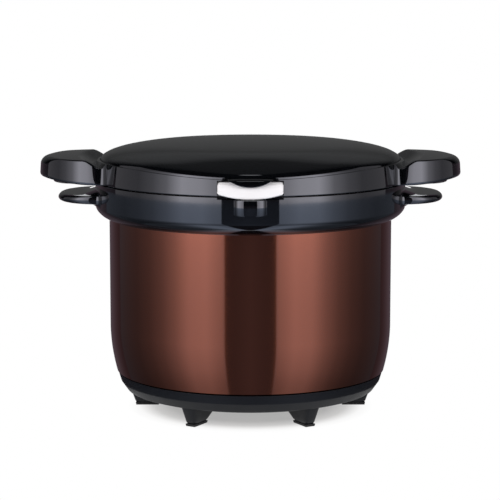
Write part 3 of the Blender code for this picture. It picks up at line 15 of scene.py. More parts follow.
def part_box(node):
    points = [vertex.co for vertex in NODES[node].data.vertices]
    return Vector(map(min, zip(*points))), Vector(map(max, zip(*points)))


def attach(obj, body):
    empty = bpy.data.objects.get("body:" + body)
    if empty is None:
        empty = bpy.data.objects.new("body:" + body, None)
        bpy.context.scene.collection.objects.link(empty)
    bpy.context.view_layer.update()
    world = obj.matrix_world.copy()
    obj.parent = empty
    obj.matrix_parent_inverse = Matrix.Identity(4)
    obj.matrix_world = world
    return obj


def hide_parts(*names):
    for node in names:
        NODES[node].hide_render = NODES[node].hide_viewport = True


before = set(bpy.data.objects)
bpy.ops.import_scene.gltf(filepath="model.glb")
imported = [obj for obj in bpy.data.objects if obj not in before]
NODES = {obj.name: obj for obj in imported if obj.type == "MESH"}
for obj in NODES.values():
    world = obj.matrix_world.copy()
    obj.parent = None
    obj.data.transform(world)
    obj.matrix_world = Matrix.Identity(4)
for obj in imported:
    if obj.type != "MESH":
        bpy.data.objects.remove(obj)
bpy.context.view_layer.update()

# %% [markdown]
# ## Colours and nodes
# Colours are written as sRGB hex, as a paint chart gives them, but a shader works with linear
# light. One function does that change, and one adds a shader node with its settings and links.

# %% Colour and node helpers
MM = 0.001
WHITE = (1.0, 1.0, 1.0, 1.0)


def to_linear(colour):
    """Linear RGBA of an sRGB hex colour: c / 12.92 near black, else ((c + 0.055) / 1.055) ^ 2.4."""
    channels = np.array([int(colour[i:i + 2], 16) for i in (1, 3, 5)]) / 255.0
    low = channels / 12.92
    high = ((channels + 0.055) / 1.055) ** 2.4
    return (*np.where(channels <= 0.04045, low, high).tolist(), 1.0)


def add_node(tree, kind, links=None, **settings):
    """Adds one node. Settings are its properties, and links gives each input a value or a socket."""
    node = tree.nodes.new(kind)
    for name, value in settings.items():
        setattr(node, name, value)
    for name, value in (links or {}).items():
        if isinstance(value, bpy.types.NodeSocket):
            tree.links.new(value, node.inputs[name])
        else:
            node.inputs[name].default_value = value
    return node


def new_material(name, colour, roughness, metallic=0.0, **inputs):
    """Makes a Principled material and returns it with its node tree and its shader."""
    material = bpy.data.materials.new(name)
    material.use_nodes = True
    tree = material.node_tree
    shader = tree.nodes["Principled BSDF"]
    shader.inputs["Base Color"].default_value = to_linear(colour)
    shader.inputs["Roughness"].default_value = roughness
    shader.inputs["Metallic"].default_value = metallic
    for name, value in inputs.items():
        shader.inputs[name.replace("_", " ")].default_value = value
    return material, tree, shader


def object_noise(tree, size, detail=2.0, stretch=(1.0, 1.0, 1.0)):
    """Noise on Object coordinates whose cells are about size metres, squeezed along each axis."""
    point = add_node(tree, "ShaderNodeTexCoord").outputs["Object"]
    point = add_node(tree, "ShaderNodeMapping", {"Vector": point, "Scale": stretch}).outputs[0]
    return add_node(tree, "ShaderNodeTexNoise",
                    {"Vector": point, "Scale": 1.0 / size, "Detail": detail}).outputs[0]


def vary_roughness(tree, shader, pattern, low, high):
    """Lets a pattern from 0 to 1 move the roughness from low to high."""
    rough = add_node(tree, "ShaderNodeMapRange", {"Value": pattern, "To Min": low, "To Max": high})
    tree.links.new(rough.outputs[0], shader.inputs["Roughness"])


def dent(tree, shader, height, distance):
    """Turns a height pattern into a bump of a depth in metres."""
    bump = add_node(tree, "ShaderNodeBump", {"Height": height, "Distance": distance})
    tree.links.new(bump.outputs[0], shader.inputs["Normal"])


# %% [markdown]
# ## Finishes
# A moulding from a polished tool is glossy but never flat: it has a faint waviness, called orange
# peel. A tool eroded by sparks leaves a fine grain, which spreads the highlights. Both are drawn at
# their real size, and the roughness changes a little over broader patches.

# %% Moulded plastics
GLOSS_PATCH = 14.0 * MM
PEEL_SIZE = 3.0 * MM
PEEL_DEPTH = 0.002 * MM
GRAIN_PATCH = 9.0 * MM
GRAIN_SIZE = 0.9 * MM
GRAIN_DEPTH = 0.03 * MM


def polished_abs():
    """Black ABS from a polished mould: deep, bluish reflections, broken a little by orange peel."""
    material, tree, shader = new_material(
        "polished_black_abs", "#08090b", 0.05, IOR=1.55, Specular_Tint=(0.84, 0.9, 1.0, 1.0),
        Coat_Weight=1.0, Coat_IOR=1.5, Coat_Roughness=0.03, Coat_Tint=(0.95, 0.97, 1.0, 1.0))
    vary_roughness(tree, shader, object_noise(tree, GLOSS_PATCH), 0.03, 0.07)
    dent(tree, shader, object_noise(tree, PEEL_SIZE), PEEL_DEPTH)
    return material


def grained_moulding(name, colour, low, high, **inputs):
    """Plastic, rubber or foam with a fine grain and a roughness between low and high."""
    material, tree, shader = new_material(name, colour, low, **inputs)
    vary_roughness(tree, shader, object_noise(tree, GRAIN_PATCH), low, high)
    dent(tree, shader, object_noise(tree, GRAIN_SIZE), GRAIN_DEPTH)
    return material


GLOSS_BLACK = polished_abs()
MATTE_BLACK = grained_moulding("grained_black_polypropylene", "#14161a", 0.42, 0.55,
                               Specular_IOR_Level=0.22)
WHITE_ABS = grained_moulding("white_abs_lever", "#f8f8f5", 0.3, 0.4)
GREY_PLASTIC = grained_moulding("grey_polypropylene_cover", "#8d8f90", 0.4, 0.52)
print("plastics", GLOSS_BLACK.name, MATTE_BLACK.name, WHITE_ABS.name, GREY_PLASTIC.name)

# %% [markdown]
# A drawn or spun sheet keeps the fine lines of the tool that ran round it, so its noise is
# stretched along X and Y against Z. The lines are drawn about 0.8 mm apart: the real ones are too
# fine to show. The shell's clear brown lacquer is a coat over them.

# %% Metals
LINE_SIZE = 0.8 * MM
LINE_DEPTH = 0.0015 * MM
LINE_STRETCH = (0.03, 0.03, 1.0)


def spun_metal(name, colour, low, high, **inputs):
    """Metal with fine lines round it, which are flat in Z and long in X and Y."""
    material, tree, shader = new_material(name, colour, low, 1.0, **inputs)
    lines = object_noise(tree, LINE_SIZE, 1.0, LINE_STRETCH)
    vary_roughness(tree, shader, lines, low, high)
    dent(tree, shader, lines, LINE_DEPTH)
    return material


BROWN_STEEL = spun_metal("brown_lacquered_steel", "#9e5539", 0.1, 0.13, Coat_Weight=0.8, Coat_IOR=1.5,
                         Coat_Roughness=0.04)
BRUSHED_STEEL = spun_metal("brushed_stainless_steel", "#b9b9b6", 0.24, 0.36)
FOIL = spun_metal("rolled_copper", "#b4795a", 0.2, 0.35)
ALUMINIUM = spun_metal("pressed_aluminium", "#a9abad", 0.35, 0.48)
print("metals", BROWN_STEEL.name, BRUSHED_STEEL.name, FOIL.name, ALUMINIUM.name)

# %% [markdown]
# Rubber, silicone and foam are duller mouldings with the same grain. The pot's lid is clear
# tempered glass.

# %% Rubber, foam and glass
RUBBER = grained_moulding("black_rubber", "#1c1c1d", 0.7, 0.85)
SILICONE = grained_moulding("grey_silicone", "#9a9c9d", 0.5, 0.65)
FOAM = grained_moulding("white_foam", "#e9e6dc", 0.85, 0.95)
GLASS, _, _ = new_material("tempered_glass", "#eef5f3", 0.02, IOR=1.5, Transmission_Weight=1.0)
print("others", RUBBER.name, SILICONE.name, FOAM.name, GLASS.name)

# %% [markdown]
# ## Surfaces from grids
# A smooth solid is worked out as a grid of points: one parameter runs along a profile and the other
# carries it round. Each cell becomes a face, and a row that shrinks to a point is welded, so that
# every solid is closed.

# %% Grid helpers
WELD = 1e-7
SHARP_ANGLE = math.radians(35.0)
SOFTEN_PASSES = 2
TURN_STEPS = 192


def smooth_step(value):
    """Eased share 3 t^2 - 2 t^3 of a value held between 0 and 1."""
    value = np.clip(value, 0.0, 1.0)
    return value * value * (3.0 - 2.0 * value)


def soften(points, closed=False):
    """Corner cutting: each side gives the points at 1/4 and 3/4 of it, and a few passes make a curve."""
    points = np.asarray(points, float)
    for _ in range(SOFTEN_PASSES):
        end = np.roll(points, -1, 0) if closed else points[1:]
        start = points if closed else points[:-1]
        cut = np.stack((start * 0.75 + end * 0.25, start * 0.25 + end * 0.75), 1).reshape(-1, 2)
        points = cut if closed else np.vstack((points[:1], cut[1:-1], points[-1:]))
    return points


def rounded(corners, radius, closed=False):
    """Rounds a profile's corners: each gets a point one radius before and after it, then softens."""
    corners = np.asarray(corners, float)
    ring = np.vstack((corners[-1:], corners, corners[:1])) if closed else corners
    middle = ring[1:-1]
    back = ring[:-2] - middle
    ahead = ring[2:] - middle
    back_length = np.linalg.norm(back, axis=1, keepdims=True)
    ahead_length = np.linalg.norm(ahead, axis=1, keepdims=True)
    reach = np.minimum(radius, np.minimum(back_length, ahead_length) * 0.45)
    three = np.stack((middle + back / back_length * reach, middle,
                      middle + ahead / ahead_length * reach), 1).reshape(-1, 2)
    if not closed:
        three = np.vstack((corners[:1], three, corners[-1:]))
    return soften(three, closed)


def outward_of(outline):
    """Unit normals of a closed plan, each square to the line between its two neighbours."""
    along = np.roll(outline, -1, 0) - np.roll(outline, 1, 0)
    along /= np.linalg.norm(along, axis=1, keepdims=True)
    return np.stack((along[:, 1], -along[:, 0]), -1)


def turned_grid(profile, angle):
    """Points of a (radius, height) profile at each angle a from the front: x = r sin a, y = -r cos a."""
    profile = np.asarray(profile, float)
    radius = profile[:, :1]
    height = np.repeat(profile[:, 1:], len(angle), 1)
    return np.stack((radius * np.sin(angle), -radius * np.cos(angle), height), -1)


def full_turn(steps):
    """Evenly spaced angles from 0 round to just before a full turn."""
    return np.arange(steps) * 2.0 * math.pi / steps


def close_ends(grid):
    """Grid with a column added at each end, where the section shrinks to its own middle."""
    ends = [np.tile(grid[:, i].mean(0), (len(grid), 1))[:, None] for i in (0, -1)]
    return np.concatenate((ends[0], grid, ends[1]), 1)


def grid_mesh(name, grid, wrap_rows=False, wrap_columns=False):
    """Mesh with a face for each cell of a (rows, columns, 3) grid, joined to its start where it wraps."""
    rows, columns = grid.shape[:2]
    index = np.arange(rows * columns).reshape(rows, columns)
    if wrap_rows:
        index = np.vstack((index, index[:1]))
    if wrap_columns:
        index = np.hstack((index, index[:, :1]))
    faces = np.stack((index[:-1, :-1], index[:-1, 1:], index[1:, 1:], index[1:, :-1]), -1)
    mesh = bpy.data.meshes.new(name)
    mesh.from_pydata(grid.reshape(-1, 3).tolist(), [], faces.reshape(-1, 4).tolist())
    return mesh


print("weld distance", WELD, "m, sharp over", round(math.degrees(SHARP_ANGLE)), "degrees")

# %% [markdown]
# ## Solids and tools
# A grid, a turned profile, a drawn-in outline, a box and a rod all end as closed solids. A Boolean
# cuts tools out of a piece or unites them with it, and the finished piece is placed on its body.

# %% Solid helpers
ROD_EDGE = 0.3 * MM
ROD_SIDES = 32


def to_object(name, shape, material=None):
    """Object of a bmesh: welded, faces outwards, shaded smooth. A tool has no material of its own."""
    bmesh.ops.remove_doubles(shape, verts=shape.verts, dist=WELD)
    bmesh.ops.recalc_face_normals(shape, faces=shape.faces)
    mesh = bpy.data.meshes.new(name)
    shape.to_mesh(mesh)
    shape.free()
    mesh.shade_smooth()
    mesh.set_sharp_from_angle(angle=SHARP_ANGLE)
    if material is not None:
        mesh.materials.append(material)
    obj = bpy.data.objects.new(name, mesh)
    bpy.context.scene.collection.objects.link(obj)
    return obj


def surface(name, grid, material=None, wrap_rows=True, wrap_columns=True):
    """Closed solid from a (rows, columns, 3) grid, whose ends are joined where it wraps."""
    mesh = grid_mesh(name, grid, wrap_rows, wrap_columns)
    shape = bmesh.new()
    shape.from_mesh(mesh)
    bpy.data.meshes.remove(mesh)
    return to_object(name, shape, material)


def turned(name, profile, material=None, steps=TURN_STEPS, closed=True):
    """Solid from a (radius, height) profile carried through a full turn."""
    return surface(name, turned_grid(profile, full_turn(steps)), material, wrap_rows=closed)


def moulding(name, outline, section, material=None):
    """Solid whose plan outline is drawn in along a section of (inset, height), closed at both ends."""
    section = np.asarray(section, float)
    plan = outline[None] - outward_of(outline)[None] * section[:, :1, None]
    height = np.repeat(section[:, 1:], len(outline), 1)[..., None]
    grid = np.concatenate((plan, height), -1)
    middle = np.append(outline.mean(0), 0.0)
    ends = [np.tile(middle + (0.0, 0.0, z), (1, len(outline), 1)) for z in (section[0, 1], section[-1, 1])]
    return surface(name, np.concatenate((ends[0], grid, ends[1])), material, wrap_rows=False)


def block(name, x, y, z):
    """Plain box over a range of X, of Y and of Z, used as a tool."""
    low, high = (Vector(corner) for corner in zip(x, y, z))
    shape = bmesh.new()
    bmesh.ops.create_cube(shape, size=1.0)
    bmesh.ops.scale(shape, vec=high - low, verts=shape.verts)
    bmesh.ops.translate(shape, vec=(low + high) / 2.0, verts=shape.verts)
    return to_object(name, shape)


def rod(name, radius, start, end, edge=0.0):
    """Round rod from start to end, used as a tool. An edge rounds its rims."""
    start, end = Vector(start), Vector(end)
    length = (end - start).length
    profile = rounded([(0.0, 0.0), (radius, 0.0), (radius, length), (0.0, length)], edge)
    obj = turned(name, profile, steps=ROD_SIDES, closed=False)
    turn = (end - start).to_track_quat("Z", "Y").to_matrix().to_4x4()
    obj.data.transform(Matrix.Translation(start) @ turn)
    return obj


def cross_rod(name, radius, half, axis, edge=0.0):
    """Rod along X that reaches as far to either side, on an axis given by its Y and Z."""
    return rod(name, radius, (-half, *axis), (half, *axis), edge)


def combine(obj, tools, operation="DIFFERENCE"):
    """Cuts tools out of an object, or unites them with it, in its material, and removes them."""
    for tool in tools:
        tool.data.materials.append(obj.data.materials[0])
        modifier = obj.modifiers.new(tool.name, "BOOLEAN")
        modifier.operation = operation
        modifier.solver = "EXACT"
        modifier.object = tool
    graph = bpy.context.evaluated_depsgraph_get()
    mesh = bpy.data.meshes.new_from_object(obj.evaluated_get(graph))
    obj.modifiers.clear()
    obj.data = mesh
    for tool in tools:
        bpy.data.objects.remove(tool, do_unlink=True)
    mesh.shade_smooth()
    mesh.set_sharp_from_angle(angle=SHARP_ANGLE)


def place(obj, body, slot, *nodes):
    """Lets a piece ride on its body, stand for CAD nodes and print its size. The slot is not used."""
    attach(obj, body)
    if nodes:
        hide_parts(*nodes)
    size = np.ptp(np.array(obj.bound_box), axis=0) / MM
    print("%-22s %6d faces  %.1f x %.1f x %.1f mm" % (obj.name, len(obj.data.polygons), *size))


print("rods have", ROD_SIDES, "sides, turned solids", TURN_STEPS)

# %% [markdown]
# ## The outer shell
# The shell is a stainless sheet drawn to a cup and lacquered brown. It narrows toward the base in a
# long curve and is rolled in over the base at a fine dark groove. A turned profile gives all of it.

# %% Outer shell
SHELL_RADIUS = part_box("outer_jacket")[1].x
SHELL_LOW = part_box("outer_jacket")[0].z
SHELL_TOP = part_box("outer_jacket")[1].z
SHELL_WALL = 0.6 * MM
MOUTH_RADIUS = 118.0 * MM
MOUTH_ROUND = 3.0 * MM
SIDE_MIDDLE = 100.0 * MM
DRAW_START = 76.0 * MM
SEAM_HEIGHT = 34.5 * MM
SEAM_RADIUS = 119.4 * MM
ROLL_IN = 4.5 * MM
BOTTOM_RADIUS = 108.0 * MM


def shell_profile(steps=28):
    """Outside r = R - (R - seam) s^2, for s from 0 at the draw to 1 at the seam; inside a wall less."""
    share = np.linspace(0.0, 1.0, steps)
    drawn = np.stack((SHELL_RADIUS - (SHELL_RADIUS - SEAM_RADIUS) * share ** 2,
                      DRAW_START - (DRAW_START - SEAM_HEIGHT) * share), -1)
    top = rounded([(MOUTH_RADIUS, SHELL_TOP), (SHELL_RADIUS, SHELL_TOP), (SHELL_RADIUS, SIDE_MIDDLE)],
                  MOUTH_ROUND)
    bottom = [(SEAM_RADIUS - ROLL_IN, SEAM_HEIGHT - SHELL_WALL), (BOTTOM_RADIUS, SHELL_LOW),
              (0.0, SHELL_LOW)]
    outside = np.vstack((top, drawn, bottom))
    lift = np.array((0.0, SHELL_WALL))
    inward = np.array((SHELL_WALL, 0.0))
    inside = np.vstack((bottom[::-1], (drawn - inward)[::-1], (top - inward)[::-1])) + lift
    inside[-1] = top[0] - lift
    inside[-len(top):, 1] = np.minimum(inside[-len(top):, 1], SHELL_TOP - SHELL_WALL)
    return np.vstack((outside, inside))


place(turned("shell_surface", shell_profile(), BROWN_STEEL, closed=False),
      "body", "outer_jacket", "outer_jacket")

# %% [markdown]
# ## Rings with grips
# The collar and the lid's ring are mouldings with a pair of grips. In plan, each is a circle that
# meets a broad rounded tongue in a hollow arc. One function draws a quarter of that outline and
# mirrors it, and each ring carries its own section round it.

# %% Plan of a ring with two grips
RING = 137.0 * MM


def even_points(points, count):
    """Points spread evenly along a line, found by reading it at equal shares of its length."""
    length = np.append(0.0, np.cumsum(np.linalg.norm(np.diff(points, axis=0), axis=1)))
    share = np.linspace(0.0, length[-1], count)
    return np.stack([np.interp(share, length, points[:, i]) for i in (0, 1)], -1)


def superellipse(t, power):
    """Shares cos(t)^(2/p) and sin(t)^(2/p) of a reach and a half width, each with its sign."""
    return [np.sign(share) * np.abs(share) ** (2.0 / power) for share in (np.cos(t), np.sin(t))]


def grip_outline(reach, half_width, power, hollow, grip_count=90, arc_count=90):
    """Quarter tongue x = root + (reach - root) cos(t)^(2/p), y = w sin(t)^(2/p), then a hollow arc that
    touches it and the circle, then the circle; mirrored to a full turn."""
    root = math.sqrt((RING + hollow) ** 2 - (half_width + hollow) ** 2)
    out, across = superellipse(np.linspace(0.0, math.pi / 2.0, 400), power)
    tongue = np.stack((root + (reach - root) * out, half_width * across), -1)
    middle = np.array((root, half_width + hollow))
    touch = math.atan2(middle[1], middle[0])
    turn = np.linspace(-math.pi / 2.0, touch - math.pi, 60)
    arc = middle + hollow * np.stack((np.cos(turn), np.sin(turn)), -1)
    around = np.linspace(touch, math.pi / 2.0, arc_count)
    circle = RING * np.stack((np.cos(around), np.sin(around)), -1)
    quarter = np.vstack((even_points(np.vstack((tongue, arc[1:])), grip_count), circle[1:]))
    flip = np.array((-1.0, 1.0))
    half = np.vstack((quarter[:-1], (quarter * flip)[::-1][:-1]))
    return np.vstack((half, -half))


def bearing_and_stand(outline):
    """Unit bearing of each point of the plan, and how far it stands out from the ring."""
    radius = np.linalg.norm(outline, axis=1, keepdims=True)
    return outline / radius, radius[:, 0] - RING


def row(plan, height):
    """One row of a grid: a plan at a height, either one height or one for each point."""
    return np.concatenate((plan, np.broadcast_to(height, (len(plan),))[:, None]), -1)


def circle_rows(bearing, profile):
    """A round row for each (radius, height) of a profile."""
    return [row(bearing * radius, height) for radius, height in profile]


print("both rings have a radius of %.1f mm" % (RING / MM))

# %% [markdown]
# ## The collar
# The collar clamps shell and liner at the mouth. Its side runs straight down and then turns in to
# the shell. An ear on each side is thin at its tip and spreads into the wall at its root.
# A section's points are a share of the way out to the ear's outline and a height in millimetres.

# %% Collar
COLLAR_TOP = 203.0 * MM
COLLAR_MOUTH = 124.5 * MM
COLLAR_MOUTH_LOW = 190.0 * MM
COLLAR_SIDE_TOP = 200.0 * MM
COLLAR_EDGE = 0.8 * MM
EAR_REACH = 170.0 * MM
EAR_HALF_WIDTH = 42.0 * MM
EAR_POWER = 2.6
EAR_HOLLOW = 5.0 * MM
EAR_SPREAD = 7.0 * MM
EAR_SECTION = [(0.0, 196.6), (0.08, 195.2), (0.26, 193.3), (0.5, 193.0), (0.82, 192.8), (0.96, 191.9),
               (1.0, 189.6), (0.97, 187.3), (0.86, 186.0), (0.5, 185.7), (0.26, 185.4), (0.08, 183.6),
               (0.0, 181.6)]
COLLAR_ROUND_TOP = 181.2 * MM
COLLAR_BOTTOM = 171.0 * MM
COLLAR_ROUND_POWER = 1.55
SHELL_CLEAR = 125.4 * MM
COLLAR_INSIDE = [(125.4, 170.6), (131.8, 176.4), (134.6, 182.3), (134.6, 200.6), (126.9, 200.6),
                 (126.9, 179.0), (114.8, 179.0), (114.8, 181.4), (124.5, 181.4)]
CUT_FRONT = -160.0 * MM
CUT_TOP = 220.0 * MM
LEVER_HALF = 27.0 * MM
NOTCH_HALF = LEVER_HALF + 0.4 * MM
NOTCH_X = (-NOTCH_HALF, NOTCH_HALF)
COLLAR_NOTCH_BACK = -131.9 * MM
COLLAR_NOTCH_LOW = 201.3 * MM
SLOT_HALF = 10.3 * MM
SLOT_BACK = -129.6 * MM
SLOT_LOW = 199.6 * MM


def collar_grid(turn_steps=20):
    """Rows down the outside (land, wall, ear, wall) and up the inside. Between them the side turns in by
    r = clear + (ring - clear) cos(t)^(2/p) while it drops by a share sin(t)^(2/p)."""
    outline = grip_outline(EAR_REACH, EAR_HALF_WIDTH, EAR_POWER, EAR_HOLLOW)
    bearing, stand = bearing_and_stand(outline)
    present = smooth_step(stand / EAR_SPREAD)
    land = rounded([(COLLAR_MOUTH, COLLAR_MOUTH_LOW), (COLLAR_MOUTH, COLLAR_TOP), (RING, COLLAR_TOP),
                    (RING, COLLAR_SIDE_TOP)], COLLAR_EDGE)
    rows = circle_rows(bearing, land)
    section = soften(np.array(EAR_SECTION) * (1.0, MM))
    even = np.linspace(section[0, 1], section[-1, 1], len(section))
    for (out, height), plain in zip(section, even):
        plan = bearing * RING + (outline - bearing * RING) * out
        rows.append(row(plan, plain + (height - plain) * present))
    turn_in, drop = superellipse(np.linspace(0.0, math.pi / 2.0, turn_steps), COLLAR_ROUND_POWER)
    radius = SHELL_CLEAR + (RING - SHELL_CLEAR) * turn_in
    height = COLLAR_ROUND_TOP - (COLLAR_ROUND_TOP - COLLAR_BOTTOM) * drop
    rows += circle_rows(bearing, zip(radius, height))
    rows += circle_rows(bearing, np.array(COLLAR_INSIDE) * MM)
    return np.array(rows)


COLLAR_OBJECT = surface("collar_surface", collar_grid(), GLOSS_BLACK)
combine(COLLAR_OBJECT, [
    block("notch_tool", NOTCH_X, (CUT_FRONT, COLLAR_NOTCH_BACK), (COLLAR_NOTCH_LOW, CUT_TOP)),
    block("slot_tool", (-SLOT_HALF, SLOT_HALF), (CUT_FRONT, SLOT_BACK), (SLOT_LOW, CUT_TOP))])
place(COLLAR_OBJECT, "body", "gloss_black", "collar")

# %% [markdown]
# ## The lid's ring
# The ring has a sloping side, a narrow bright rim and two broad wings to lift the lid by. A wing's
# top falls into a trough before it meets the rim, and its outer end is rounded far more than its
# sides. So the rounding is worked out from which way the outline faces at each point. Each of its
# sizes is written in millimetres as three parts: the plain ring's, what a wing adds, and what the
# wing's end adds.

# %% Lid ring
LID_BOTTOM = 203.8 * MM
LID_RIM = 222.3 * MM
RIM_OUTER = 135.0 * MM
RIM_INNER = 132.9 * MM
RIM_FALL = 3.0 * MM
TROUGH_HEIGHT = 218.0 * MM
TROUGH_END = 2.5 * MM
TROUGH_RISE = 15.0 * MM
WING_REACH = 186.0 * MM
WING_HALF_WIDTH = 55.0 * MM
WING_POWER = 1.9
WING_HOLLOW = 6.0 * MM
WING_SPREAD = 10.0 * MM
WING_TOP = 226.0 * MM
WING_SIDE_FALL = 0.9 * MM
WING_END_FALL = 1.4 * MM
WING_END_START = 160.0 * MM
WING_END_LENGTH = 26.0 * MM
WING_LIFT = 3.2 * MM
RING_LEAN = 2.0 * MM
WING_LEAN = 0.5 * MM
EDGE_WIDTHS = (0.5, 1.3, 6.5)
EDGE_DROPS = (0.5, 1.3, 6.0)
UNDER_ROUNDS = (0.8, 0.4, 2.2)
VISOR_DIP = 5.0 * MM
VISOR_HALF_ANGLE = math.radians(60.0)
SKIRT_RADIUS = 133.8 * MM
LID_INSIDE = [(133.8, 206.9), (131.5, 206.9), (131.5, 203.8), (129.5, 203.8), (129.5, 206.9),
              (125.0, 206.9), (125.0, 203.8), (123.0, 203.8), (123.0, 209.2), (132.9, 209.2)]


def visor_dip(x, y):
    """Dip of the rim, d cos^2(90 a / 60) for bearings a within 60 degrees of the front or the back."""
    angle = np.arctan2(np.abs(x), np.abs(y))
    dip = VISOR_DIP * np.cos(math.pi / 2.0 * angle / VISOR_HALF_ANGLE) ** 2
    return np.where(angle < VISOR_HALF_ANGLE, dip, 0.0)


def lid_top(plan):
    """Height of the ring's top: the rim, a trough outside it, then the wing's low crown."""
    x, y = plan.T
    rim = LID_RIM - visor_dip(x, y)
    past = np.linalg.norm(plan, axis=1) - RIM_OUTER
    crown = WING_TOP - WING_SIDE_FALL * (y / WING_HALF_WIDTH) ** 2
    crown -= WING_END_FALL * np.clip((np.abs(x) - WING_END_START) / WING_END_LENGTH, 0.0, None) ** 2
    fall = smooth_step(past / RIM_FALL)
    rise = smooth_step((past - TROUGH_END) / TROUGH_RISE)
    return rim + (TROUGH_HEIGHT - rim) * fall + (crown - TROUGH_HEIGHT) * rise


def in_parts(sizes, present, end):
    """Size in metres: the plain ring's, and what the wings and their ends add where they are present."""
    ring, wing, tip = np.array(sizes) * MM
    return ring + wing * present + tip * end


def lid_grid(top_steps=30, edge_steps=9, side_steps=9, under_steps=7):
    """Rows across the top, over the rounded edge, down the side, under the wing and back up the inside."""
    outline = grip_outline(WING_REACH, WING_HALF_WIDTH, WING_POWER, WING_HOLLOW, 130, 110)
    outward = outward_of(outline)
    bearing, stand = bearing_and_stand(outline)
    present = smooth_step(stand / WING_SPREAD)
    end = present * smooth_step((np.abs(outward[:, 0]) - 0.6) / 0.4)
    lean = RING_LEAN + (WING_LEAN - RING_LEAN) * present
    edge = in_parts(EDGE_WIDTHS, present, end)
    drop = in_parts(EDGE_DROPS, present, end)
    under = in_parts(UNDER_ROUNDS, present, end)
    out = (np.abs(outline[:, 0]) - RING) / (WING_REACH - RING)
    rise = WING_LIFT * present * smooth_step(out)
    low_edge = LID_BOTTOM + rise
    inset = outline - outward * (lean + edge)[:, None]
    rows = []
    for share in np.linspace(0.0, 1.0, top_steps):
        plan = bearing * RIM_INNER * (1.0 - share) + inset * share
        rows.append(row(plan, lid_top(plan)))
    top = rows[-1][:, 2]
    for angle in np.linspace(math.pi / 2.0, 0.0, edge_steps)[1:]:
        plan = outline - outward * (lean + edge * (1.0 - math.cos(angle)))[:, None]
        rows.append(row(plan, top - drop * (1.0 - math.sin(angle))))
    high = rows[-1][:, 2]
    for share in np.linspace(0.0, 1.0, side_steps)[1:]:
        plan = outline - outward * (lean * (1.0 - share))[:, None]
        rows.append(row(plan, high + (low_edge + under - high) * share))
    for angle in np.linspace(0.0, math.pi / 2.0, under_steps)[1:]:
        plan = outline - outward * (under * (1.0 - math.cos(angle)))[:, None]
        rows.append(row(plan, low_edge + under * (1.0 - math.sin(angle))))
    low = rows[-1][:, :2]
    for share in np.linspace(0.0, 1.0, side_steps)[1:]:
        rows.append(row(low + (bearing * SKIRT_RADIUS - low) * share, LID_BOTTOM + rise * (1.0 - share)))
    rows += circle_rows(bearing, np.array(LID_INSIDE) * MM)
    return np.array(rows)


LID_OBJECT = surface("lid_ring_surface", lid_grid(), GLOSS_BLACK)
print("lid ring grid %d faces" % len(LID_OBJECT.data.polygons))

# %% [markdown]
# The lid's ring also carries the hinge's knuckle on a short web, and two bosses for the lever's
# pin. Then it is cut for the lever, the lobe, both pins and the hollows under the wings.

# %% Knuckle, bosses and cuts
HINGE_AXIS = (143.0 * MM, 204.0 * MM)
LATCH_AXIS = (-129.5 * MM, 211.5 * MM)
RUN_PAST = 50.0 * MM
LID_KNUCKLE = 4.5 * MM
HINGE_BORE = 2.3 * MM
PIN_BORE = 1.8 * MM
PIN_HALF = 28.6 * MM
KNUCKLE_HALF = 18.2 * MM
WEB_Y = (135.2 * MM, HINGE_AXIS[0])
WEB_Z = (LID_BOTTOM, 208.9 * MM)
BOSS_X = (27.1 * MM, 31.0 * MM)
BOSS_Y = (-131.2 * MM, -126.9 * MM)
BOSS_Z = (208.9 * MM, 215.0 * MM)
LID_CUT_LOW = 180.0 * MM
LID_CUT_TOP = 240.0 * MM
NOTCH_BACK = -129.8 * MM
NOTCH_TOP = 216.6 * MM
ROOM_BACK = -126.2 * MM
ROOM_LOW = 208.2 * MM
LOBE_ROOM = 19.4 * MM
POCKET_ROOT = 141.0 * MM
POCKET_LENGTH = 33.0 * MM
POCKET_HALF_WIDTH = 43.0 * MM
POCKET_POWER = 2.6
POCKET_TOP = 213.3 * MM


def boss(side):
    """Boss that holds one end of the lever's pin: side is -1 for the left and 1 for the right."""
    return block("boss_tool", sorted(side * x for x in BOSS_X), BOSS_Y, BOSS_Z)


def pocket(side, count=60):
    """Cutter for a wing's hollow, open below: x = root + length cos(t)^(2/p), y = w sin(t)^(2/p)."""
    t = np.linspace(-math.pi / 2.0, math.pi / 2.0, count)
    out, across = superellipse(t, POCKET_POWER)
    x = (POCKET_ROOT + POCKET_LENGTH * out) * side
    outline = np.stack((x, POCKET_HALF_WIDTH * across), -1)[::side]
    return moulding("pocket_tool", outline, [(0.0, LID_CUT_LOW), (0.0, POCKET_TOP)])


combine(LID_OBJECT, [
    cross_rod("knuckle_tool", LID_KNUCKLE, KNUCKLE_HALF, HINGE_AXIS, ROD_EDGE),
    block("web_tool", (-KNUCKLE_HALF, KNUCKLE_HALF), WEB_Y, WEB_Z), boss(-1), boss(1)], "UNION")
combine(LID_OBJECT, [
    block("front_tool", NOTCH_X, (CUT_FRONT, NOTCH_BACK), (LID_CUT_LOW, NOTCH_TOP)),
    block("back_tool", NOTCH_X, (CUT_FRONT, ROOM_BACK), (ROOM_LOW, NOTCH_TOP)),
    block("lobe_tool", (-LOBE_ROOM, LOBE_ROOM), (CUT_FRONT, ROOM_BACK), (ROOM_LOW, LID_CUT_TOP)),
    cross_rod("bore_tool", HINGE_BORE, RUN_PAST, HINGE_AXIS),
    cross_rod("pin_tool", PIN_BORE, PIN_HALF, LATCH_AXIS), pocket(1), pocket(-1)])
place(LID_OBJECT, "lid", "gloss_black", "lid_frame")

# %% [markdown]
# ## The dome
# The cover is a very shallow dome whose edge dips with the rim at the front and the back: it is a
# turned grid, lowered by the same rule toward its edge. A thumb lobe stands out over the lever. Its
# section is a radius in millimetres and a share of its height.

